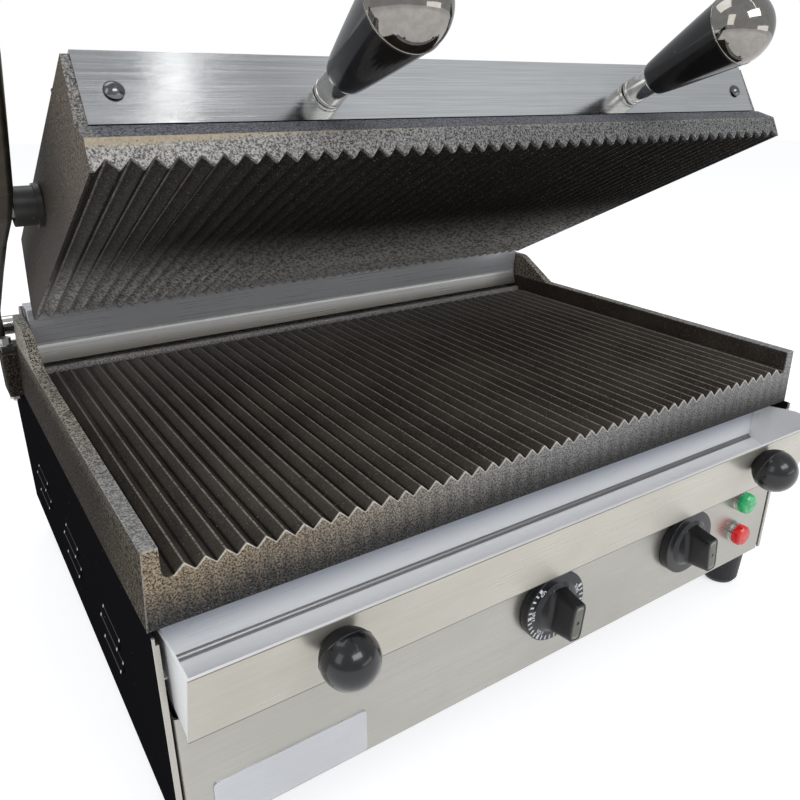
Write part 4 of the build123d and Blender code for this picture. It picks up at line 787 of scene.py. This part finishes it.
def piece(name, points, faces, body, finish, sharp):
    """Piece from arrays, smooth except at edges sharper than an angle in degrees."""
    mesh = bpy.data.meshes.new(name)
    mesh.from_pydata(points.tolist(), [], sum((f.tolist() for f in outward(points, faces)), []))
    mesh.shade_smooth()
    mesh.set_sharp_from_angle(angle=math.radians(sharp))
    mesh.materials.append(finish.material)
    return placed(name, mesh, body)


def ringed(name, rings, body, finish, sharp=35.0):
    """Closed piece from rings (n, m, 3), each end closed in its middle point."""
    count, around = rings.shape[:2]
    points = np.concatenate([rings.reshape(-1, 3), rings[:1].mean(1), rings[-1:].mean(1)])
    j = np.arange(around)
    k = (j + 1) % around
    last = (count - 1) * around
    start = np.stack([np.full(around, count * around), k, j], axis=-1)
    end = np.stack([np.full(around, count * around + 1), last + j, last + k], axis=-1)
    return piece(name, points, [ring_faces(count, around), start, end], body, finish, sharp)


def line(along, across):
    """Profile points from two arrays, along the piece and across it."""
    return np.stack([along, across], axis=-1)


def rounded(points, radii, steps=5):
    """Line with arcs for corners: cut back r / tan(half angle), then turn evenly."""
    points = np.asarray(points, float)
    out = [points[:1]]
    for corner, radius in zip(range(1, len(points) - 1), radii):
        a, b = points[corner - 1] - points[corner], points[corner + 1] - points[corner]
        la, lb = np.linalg.norm(a), np.linalg.norm(b)
        a, b = a / la, b / lb
        half_angle = math.acos(max(-1.0, min(1.0, float(a @ b)))) / 2
        if radius <= 0 or half_angle > 1.55:
            out.append(points[corner:corner + 1])
            continue
        cut = min(radius / math.tan(half_angle), 0.49 * la, 0.49 * lb)
        radius = cut * math.tan(half_angle)
        middle = points[corner] + (a + b) / np.linalg.norm(a + b) * radius / math.sin(half_angle)
        first, last = points[corner] + a * cut - middle, points[corner] + b * cut - middle
        turn = math.pi - 2 * half_angle
        t = np.linspace(0, 1, steps)[:, None]
        out.append(middle + (np.sin((1 - t) * turn) * first + np.sin(t * turn) * last) / math.sin(turn))
    out.append(points[-1:])
    return np.concatenate(out)


def turned(profile, origin, axis, around=64, ripple=None):
    """Rings of a turned piece: origin + along * axis + radius * (cos t * side + sin t * top)."""
    axis = np.asarray(axis, float) / np.linalg.norm(axis)
    side = np.cross(axis, [0.0, 0.0, 1.0] if abs(axis[2]) < 0.9 else [1.0, 0.0, 0.0])
    side /= np.linalg.norm(side)
    top = np.cross(axis, side)
    t = np.linspace(0, 2 * math.pi, around, endpoint=False)
    radius = np.maximum(profile[:, 1], 0.001)[:, None] * (1 if ripple is None else ripple(t))
    spoke = np.cos(t)[:, None] * side + np.sin(t)[:, None] * top
    return np.asarray(origin) + profile[:, 0][:, None, None] * axis + radius[:, :, None] * spoke[None]


FORWARD = (0, -1, 0)
print("corner of radius 2", rounded([(0, 0), (0, 10), (10, 10)], [2]).round(2).tolist())

# %% [markdown]
# Each lid handle is a row of turned parts on one stud: a steel neck, a black grip that swells
# outwards, a thin bright ring and a polished dome. Rounded corners catch the light.

# %% Handles of the lid
HANDLE_X = {"left": -114.3, "right": 106.6}
HANDLE_SEAT = (11.2525, 32.5)
NECK, GRIP, CAP = 18.5, 56.0, 21.0
NARROW, WIDE = 10.3, 19.4
GRIP_START, GRIP_EDGE = 1.6, 0.5
RING_LONG, RING_OUT, RING_EDGE = 0.8, 0.25, 0.25

share = np.linspace(0, 1, 30)
swell = line(NECK + GRIP_START + (GRIP - GRIP_START) * share, NARROW + (WIDE - NARROW) * share ** 0.92)
grip_start = rounded([(NECK, 7.0), (NECK, NARROW - 0.4), swell[1]], [2.6])[:-1]
ring_start = NECK + GRIP
grip_end = [(ring_start - GRIP_EDGE, WIDE - 0.05), (ring_start, WIDE - GRIP_EDGE), (ring_start, 0.0)]
grip_profile = np.concatenate([[(NECK, 0.0)], grip_start, swell[1:-1], grip_end])
neck_line = [(0, 0), (0, 8.0), (2.2, 8.0), (2.6, 7.5), (3.0, 7.9), (17.2, 7.7), (NECK, 7.0), (NECK, 0)]
neck_profile = rounded(neck_line, [0.4, 0.4, 0.2, 0.2, 0.8, 0.5], 4)
ring_end, ring_radius = ring_start + RING_LONG, WIDE + RING_OUT
ring_profile = rounded([(ring_start, 0), (ring_start, ring_radius), (ring_end, ring_radius), (ring_end, 0)],
                       [RING_EDGE, RING_EDGE], 4)
lift = (CAP ** 2 - WIDE ** 2) / (2 * CAP)
dome_radius = CAP - lift
dome_angle = np.linspace(-math.asin(lift / dome_radius), math.pi / 2, 28)
dome = line(ring_end + lift + dome_radius * np.sin(dome_angle), dome_radius * np.cos(dome_angle))
dome_profile = np.concatenate([[(ring_end, 0.0)], dome])


def handle_part(kind, side, profile, around, finish):
    """One turned part of a handle, seated on the lid's front strip."""
    rings = turned(profile, (HANDLE_X[side], *HANDLE_SEAT), FORWARD, around)
    return ringed(f"lid_{kind}_{side}", on_lid(rings), "lid", finish, 50)


for side in HANDLE_X:
    grip = handle_part("grip", side, grip_profile, 72, gloss_black)
    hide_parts(f"handle_grip_{side}")
    cap = handle_part("cap", side, dome_profile, 72, chrome)
    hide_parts(f"handle_cap_{side}")
    neck = handle_part("neck", side, neck_profile, 64, bright_steel)
    ring = handle_part("ring", side, ring_profile, 64, chrome)
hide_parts("handle_ferrules")
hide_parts("handle_rings")
print("grip profile points", len(grip_profile))

# %% [markdown]
# The drip tray is pulled by two moulded ball knobs. The mould leaves a fine raised line round
# a ball, and the part behind it is seldom polished. The line goes into the profile, and the
# dull rear into the finish.

# %% Ball knobs of the drip tray
BALL_X, BALL_SEAT, BALL_LEAN = 171.3, (-32.70, -45.86), math.radians(16.474)
BALL_OUT, BALL_RADIUS, BALL_LINE = 12.84, 15.0, 8.9
LINE_RISE, LINE_TURN = 0.34, 0.024

ball_axis = np.array([0.0, -math.cos(BALL_LEAN), -math.sin(BALL_LEAN)])
line_angle = math.asin((BALL_LINE - BALL_OUT) / BALL_RADIUS)
turn = np.unique(np.concatenate([np.linspace(-math.asin(BALL_OUT / BALL_RADIUS), math.pi / 2, 44),
                                 line_angle + np.linspace(-0.08, 0.08, 17)]))
swollen = BALL_RADIUS + LINE_RISE * np.exp(-((turn - line_angle) / LINE_TURN) ** 2)
ball_profile = line(BALL_OUT + swollen * np.sin(turn), swollen * np.cos(turn))

r = ball_black
parting = at(np.array([0, *BALL_SEAT]) + ball_axis * BALL_LINE)
rear = r.span(r.along(r.place(), ball_axis, parting), 0.2, -0.3)
polish = Value(r, r.bsdf.inputs["Roughness"].links[0].from_socket)
r.look(Roughness=polish + rear * 0.25, Coat_Weight=r.ramp(rear, 0.0, 1.0, 0.5, 0.0))
for side, x in (("left", -BALL_X), ("right", BALL_X)):
    ball = ringed(f"ball_{side}", at(turned(ball_profile, (x, *BALL_SEAT), ball_axis, 80)), "tray",
                  ball_black, 60)
    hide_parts(f"tray_knob_{side}")
print("ball rings", len(turn))

# %% [markdown]
# Sheet never folds to a dead sharp corner. The tray's back wall meets its floor in a small
# bend, which shows as a dark and a bright line. It is a quarter circle run along X, with a
# thin back so that it is a closed piece.

# %% Bend at the back of the tray's floor
BEND_BACK, BEND_RADIUS, BEND_HALF, BEND_SHEET = 19.8, 2.6, 243.1, 0.25

arc = np.linspace(0, math.pi / 2, 14)
centre = np.array([BEND_BACK - BEND_RADIUS, TRAY_FLOOR_Z + BEND_RADIUS])
hollow = centre + BEND_RADIUS * line(np.sin(arc), -np.cos(arc))
behind_hollow = hollow[::-1] + BEND_SHEET * line(np.sin(arc[::-1]), -np.cos(arc[::-1]))
loop = np.concatenate([hollow + [-0.02, 0.05], behind_hollow])
bend_x = np.linspace(-BEND_HALF, BEND_HALF, 9)[:, None]
bend_rings = np.stack(np.broadcast_arrays(bend_x, *loop.T), axis=-1)
ringed("tray_bend", at(bend_rings), "tray", plain_sheet, 50)
print("bend points", loop.shape)

# %% [markdown]
# The dials are moulded in one piece: a thick skirt, a raised boss and a bar that narrows
# outwards. Ring by ring the outline goes from a circle to a superellipse, a rectangle with
# soft corners, so one formula gives every ring. Each dial leans a little, as photographed, and
# its metal inlay has fine turned rings and a dark pin.

# %% Dials with a bar grip
DIALS = (("thermostat", 0.0, math.radians(6.0)), ("selector", 136.4, math.radians(-7.0)))
PANEL_Y, DIAL_Z = -5.9, -114.4
SKIRT_FACE = 6.3
BOSS_RADIUS, BOSS_FADE = 15.6, 3.2
BAR_ROOT, BAR_FACE = (15.3, 7.0), (13.4, 5.25)
BAR_START, BAR_END, BAR_EDGE, INLAY_MARGIN = 8.1, 26.1, 0.7, 1.8
INLAY_RING_PITCH = 0.9
AROUND = 160
theta = np.linspace(0, 2 * math.pi, AROUND, endpoint=False)
CIRCLE = np.ones(AROUND)


def bar_outline(half_length, half_width, power=5.0):
    """Radius of a superellipse at each angle: (|cos t / a|^p + |sin t / b|^p) to the power -1/p."""
    long_share, wide_share = np.abs(np.cos(theta) / half_length), np.abs(np.sin(theta) / half_width)
    return (long_share ** power + wide_share ** power) ** (-1 / power)


def face_outline(margin):
    """Outline of the bar's face, drawn in by a margin."""
    return bar_outline(BAR_FACE[0] - margin, BAR_FACE[1] - margin)


def dial_rings(x, lean, rings):
    """Rings round a dial's axis: middle + radius * (cos t * up + sin t * across)."""
    up = np.array([math.sin(lean), 0.0, math.cos(lean)])
    across = np.array([math.cos(lean), 0.0, -math.sin(lean)])
    spoke = np.cos(theta)[:, None] * up + np.sin(theta)[:, None] * across
    return at([radii[:, None] * spoke + [x, PANEL_Y - depth, DIAL_Z] for depth, radii in rings])


skirt = rounded([(0, 23.6), (0, 24.9), (0.4, 25.2), (SKIRT_FACE, 25.2), (SKIRT_FACE, 18.4),
                 (BAR_START, BOSS_RADIUS)], [0.1, 0.3, 0.7, 1.6], 6)
knob = [(depth, radius * CIRCLE) for depth, radius in skirt]
for step in np.linspace(0.04, 1, 26) ** 1.6:
    depth = BAR_START + (BAR_END - BAR_EDGE - BAR_START) * step
    part = (depth - BAR_START) / (BAR_END - BAR_START)
    bar = bar_outline(*(a + (b - a) * part for a, b in zip(BAR_ROOT, BAR_FACE)))
    flow = max(0.0, 1 - (depth - BAR_START) / BOSS_FADE) ** 2.6
    knob.append((depth, bar + (np.maximum(BOSS_RADIUS, bar) - bar) * flow))
for turn_in in np.linspace(0.25, 1, 4) * math.pi / 2:
    knob.append((BAR_END - BAR_EDGE * (1 - math.sin(turn_in)),
                 bar_outline(*BAR_FACE) - BAR_EDGE * (1 - math.cos(turn_in))))
for margin, sunk in ((1.5, 0.0), (INLAY_MARGIN, 0.15), (INLAY_MARGIN + 0.1, 0.5)):
    knob.append((BAR_END - sunk, face_outline(margin)))
inlay = [(BAR_END - sunk, face_outline(INLAY_MARGIN + margin))
         for sunk, margin in ((0.5, 0.05), (0.15, 0.05), (0.02, 0.18), (0.0, 0.4))]
inlay += [(BAR_END - sunk, radius * CIRCLE) for sunk, radius in ((0.0, 1.25), (0.45, 1.1))]
pin = [(BAR_END - sunk, radius * CIRCLE) for sunk, radius in ((0.44, 1.0), (0.2, 1.08), (0.12, 0.9))]

r = inlay_metal
inlay_x, inlay_z = r.part(r.place(), 0), r.part(r.place(), 2)
across = r.math("MINIMUM", *(abs(inlay_x - x * MM) for _, x, _ in DIALS))
upright = inlay_z - (DIAL_Z + LIFT) * MM
spread = r.math("SQRT", across * across + upright * upright)
# Painted highlight: the inlay is lighter towards its ends, where its turned rings show bright arcs.
r.lay(r.span(spread, 9.0, 12.0, 0.0, 0.6), (176, 176, 168))
waves = r.math("SINE", spread * (2 * math.pi / (INLAY_RING_PITCH * MM)))
r.look(Roughness=r.ramp(waves, -1.0, 1.0, 0.26, 0.38))
for body, x, lean in DIALS:
    dial = ringed(f"{body}_dial", dial_rings(x, lean, knob), body, dial_black, 32)
    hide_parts(f"{body}_knob")
    plate = ringed(f"{body}_plate", dial_rings(x, lean, inlay), body, inlay_metal, 40)
    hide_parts(f"{body}_inlay")
    ringed(f"{body}_pin", dial_rings(x, lean, pin), body, hole_black)
print("dial rings", len(knob))

# %% [markdown]
# The thermostat's skirt is printed in white: a mark every ten degrees, a broad one with its
# number every fifty. The marks are small raised blocks, all from one array of corners. Each
# number is text made a mesh while flat, and then its points are carried to the skirt.

# %% Marks and temperatures on the thermostat's skirt
FACE_Y = PANEL_Y - SKIRT_FACE
FIRST_MARK, MARK_STEP = 129.6, -10.13
MARK_COUNT, MARKS_PER_NUMBER, DEGREES = 26, 5, 50
MARK_MIDDLE, MARK_HALF = 22.75, 1.55
BROAD_HALF, NARROW_HALF = 1.15, 0.60
MARK_SUNK, MARK_RISE = -0.05, 0.08
NUMBER_MIDDLE, NUMBER_SIZE = 18.6, (5.2, 5.3, 3.0)

print_white = r = finish_of("print_white", Roughness=0.5)
worn = r.noise(r.place(), 900.0, 4.0, 0.6)
r.look(Base_Color=r.blend(r.ramp(worn, 0.35, 0.6), (196, 198, 202), (232, 234, 238)))


def on_skirt(angle, along, across, out):
    """Skirt point: outwards along an angle, clockwise across it, then off the face."""
    c, s = np.cos(angle), np.sin(angle)
    x, z = along * c + across * s, DIAL_Z + along * s - across * c
    return np.stack(np.broadcast_arrays(x, FACE_Y - out, z), axis=-1)


mark = np.arange(MARK_COUNT)
angle = np.radians(FIRST_MARK - MARK_STEP * mark)[:, None]
half_width = np.where((mark % MARKS_PER_NUMBER == 0)[:, None], BROAD_HALF, NARROW_HALF)
corner_along, corner_across = np.array(SQUARE * 2).T[:, None, :]
corner_out = np.repeat([MARK_SUNK, MARK_RISE], 4)[None, :]
corners = on_skirt(angle, MARK_MIDDLE + MARK_HALF * corner_along, half_width * corner_across, corner_out)
block = np.array([(0, 1, 2, 3), (4, 7, 6, 5), (0, 4, 5, 1), (1, 5, 6, 2), (2, 6, 7, 3), (3, 7, 4, 0)])
block_faces = (block[None] + 8 * mark[:, None, None]).reshape(-1, 4)
block_points = at(corners.reshape(-1, 3))
piece("thermostat_marks", block_points, [block_faces], "thermostat", print_white, 20)
for number in range(6):
    degrees = DEGREES * (number + 1)
    words = bpy.data.curves.new(f"temperature_{number}", "FONT")
    words.body, words.size, words.extrude, words.offset = str(degrees), 1.0, 0.02, 0.018
    words.align_x, words.align_y = "CENTER", "CENTER"
    flat = linked(f"flat_{number}", words)
    bpy.context.view_layer.update()
    mesh = bpy.data.meshes.new_from_object(flat.evaluated_get(bpy.context.evaluated_depsgraph_get()))
    bpy.data.objects.remove(flat)
    letters = np.empty(len(mesh.vertices) * 3)
    mesh.vertices.foreach_get("co", letters)
    letters = letters.reshape(-1, 3) * NUMBER_SIZE
    place = np.full(len(letters), math.radians(FIRST_MARK - MARK_STEP * MARKS_PER_NUMBER * number))
    moved = at(on_skirt(place, NUMBER_MIDDLE + letters[:, 1], letters[:, 0], letters[:, 2] + 0.02))
    mesh.vertices.foreach_set("co", moved.ravel())
    mesh.update()
    mesh.materials.clear()
    mesh.materials.append(print_white.material)
    placed(f"thermostat_number_{degrees}", mesh, "thermostat")
print("marks", len(mark))

# %% [markdown]
# Signal lamps are small bought parts: a ribbed metal neck and a lens cut in flats so that it
# sparkles. The flats come from the radius of a regular polygon at each angle.

# %% Signal lamps
LAMP_X = 205.0
LENS_FLATS = 14


def flats(t):
    """Radius factor of a polygon: cos(pi/n) / cos(angle from the middle of its flat)."""
    wedge = 2 * math.pi / LENS_FLATS
    return math.cos(wedge / 2) / np.cos((t % wedge) - wedge / 2)


lamp_line = rounded([(-0.3, 6.6), (0, 8.0), (0.7, 8.0), (0.9, 7.6), (1.2, 7.6), (1.4, 8.0), (1.9, 8.0),
                     (2.1, 7.6), (2.3, 7.6), (2.5, 8.0), (2.9, 8.6), (3.6, 8.6), (3.7, 8.0)], [0.1] * 11, 3)
lens_line = np.array([(3.5, 7.4), (3.8, 8.3), (4.1, 8.45), (8.6, 8.3), (9.9, 7.2), (10.2, 4.2)])
for label, z, glass in (("green", -103.0, green_lens), ("red", -132.0, red_lens)):
    seat = (LAMP_X, PANEL_FRONT, z)
    neck_rings = at(turned(lamp_line, seat, FORWARD, 60))
    neck = ringed(f"lamp_neck_{label}", neck_rings, "base", bright_steel, 40)
    cut_rings = at(turned(lens_line, seat, FORWARD, 56, flats))
    cut = ringed(f"lamp_cut_{label}", cut_rings, "base", glass, 12)
    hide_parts(f"lamp_lens_{label}")
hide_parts("lamp_bodies")
print("lamps made")

# %% [markdown]
# The grill stands on tapered feet of black plastic, with shallow upright grooves near the
# bottom. The strip is held by two round-headed screws with smooth, polished heads.

# %% Feet and strip screws
FOOT_BOTTOM, FOOT_TOP = -194.0, -162.0
FOOT_X, FOOT_FRONT, FOOT_BACK = 228, 13, 405
GROOVES, GROOVE_DEPTH = 26, 0.02
HEAD_RADIUS, HEAD_RISE, HEAD_RIM = 4.5, 2.4, 0.3
HEAD_X, HEAD_SEAT = 217.0, (11.564, 34.0)
STRIP_LEAN = math.atan(0.2077)

foot_line = [(FOOT_BOTTOM, 10.6), (FOOT_BOTTOM, 12.0), (-190, 14.5), (FOOT_TOP, 16.0), (FOOT_TOP, 12.0)]
foot_line = rounded(foot_line, [0.8, 1.2, 0.8], 5)
wall_share = np.linspace(0.04, 0.96, 12)[:, None]
wall = foot_line[10] + (foot_line[11] - foot_line[10]) * wall_share
foot_line = np.concatenate([foot_line[:11], wall, foot_line[11:]])
foot_share = (foot_line[:, 0] - FOOT_BOTTOM) / (FOOT_TOP - FOOT_BOTTOM)


def grooves(t):
    """Radius factor with shallow grooves that fade out upwards."""
    fade = np.clip(1.3 - foot_share, 0, 1)[:, None] ** 1.5
    return 1 - GROOVE_DEPTH * fade * (0.5 + 0.5 * np.cos(GROOVES * t))[None, :] ** 4


for index, (x, y) in enumerate((x, y) for y in (FOOT_FRONT, FOOT_BACK) for x in (-FOOT_X, FOOT_X)):
    foot = ringed(f"foot_{index + 1}", at(turned(foot_line, (x, y, 0), (0, 0, 1), 104, grooves)), "base",
                  foot_black, 50)
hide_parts("foot_pads")

cap_radius = (HEAD_RADIUS ** 2 + HEAD_RISE ** 2) / (2 * HEAD_RISE)
cap_turn = np.linspace(math.asin(HEAD_RADIUS / cap_radius), 0.03, 14)
cap_rise = np.cos(cap_turn) - math.cos(cap_turn[0])
cap_top = line(HEAD_RIM + cap_radius * cap_rise, cap_radius * np.sin(cap_turn))
head_rim = [(-0.2, HEAD_RADIUS - 0.15), (0.0, HEAD_RADIUS), (HEAD_RIM, HEAD_RADIUS)]
head_line = np.concatenate([head_rim, cap_top])
head_axis = (0, -math.cos(STRIP_LEAN), math.sin(STRIP_LEAN))
for side, x in (("left", -HEAD_X), ("right", HEAD_X)):
    head = ringed(f"strip_head_{side}", on_lid(turned(head_line, (x, *HEAD_SEAT), head_axis, 56)), "lid",
                  head_steel, 50)
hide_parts("strip_screws")
print("feet and heads made")
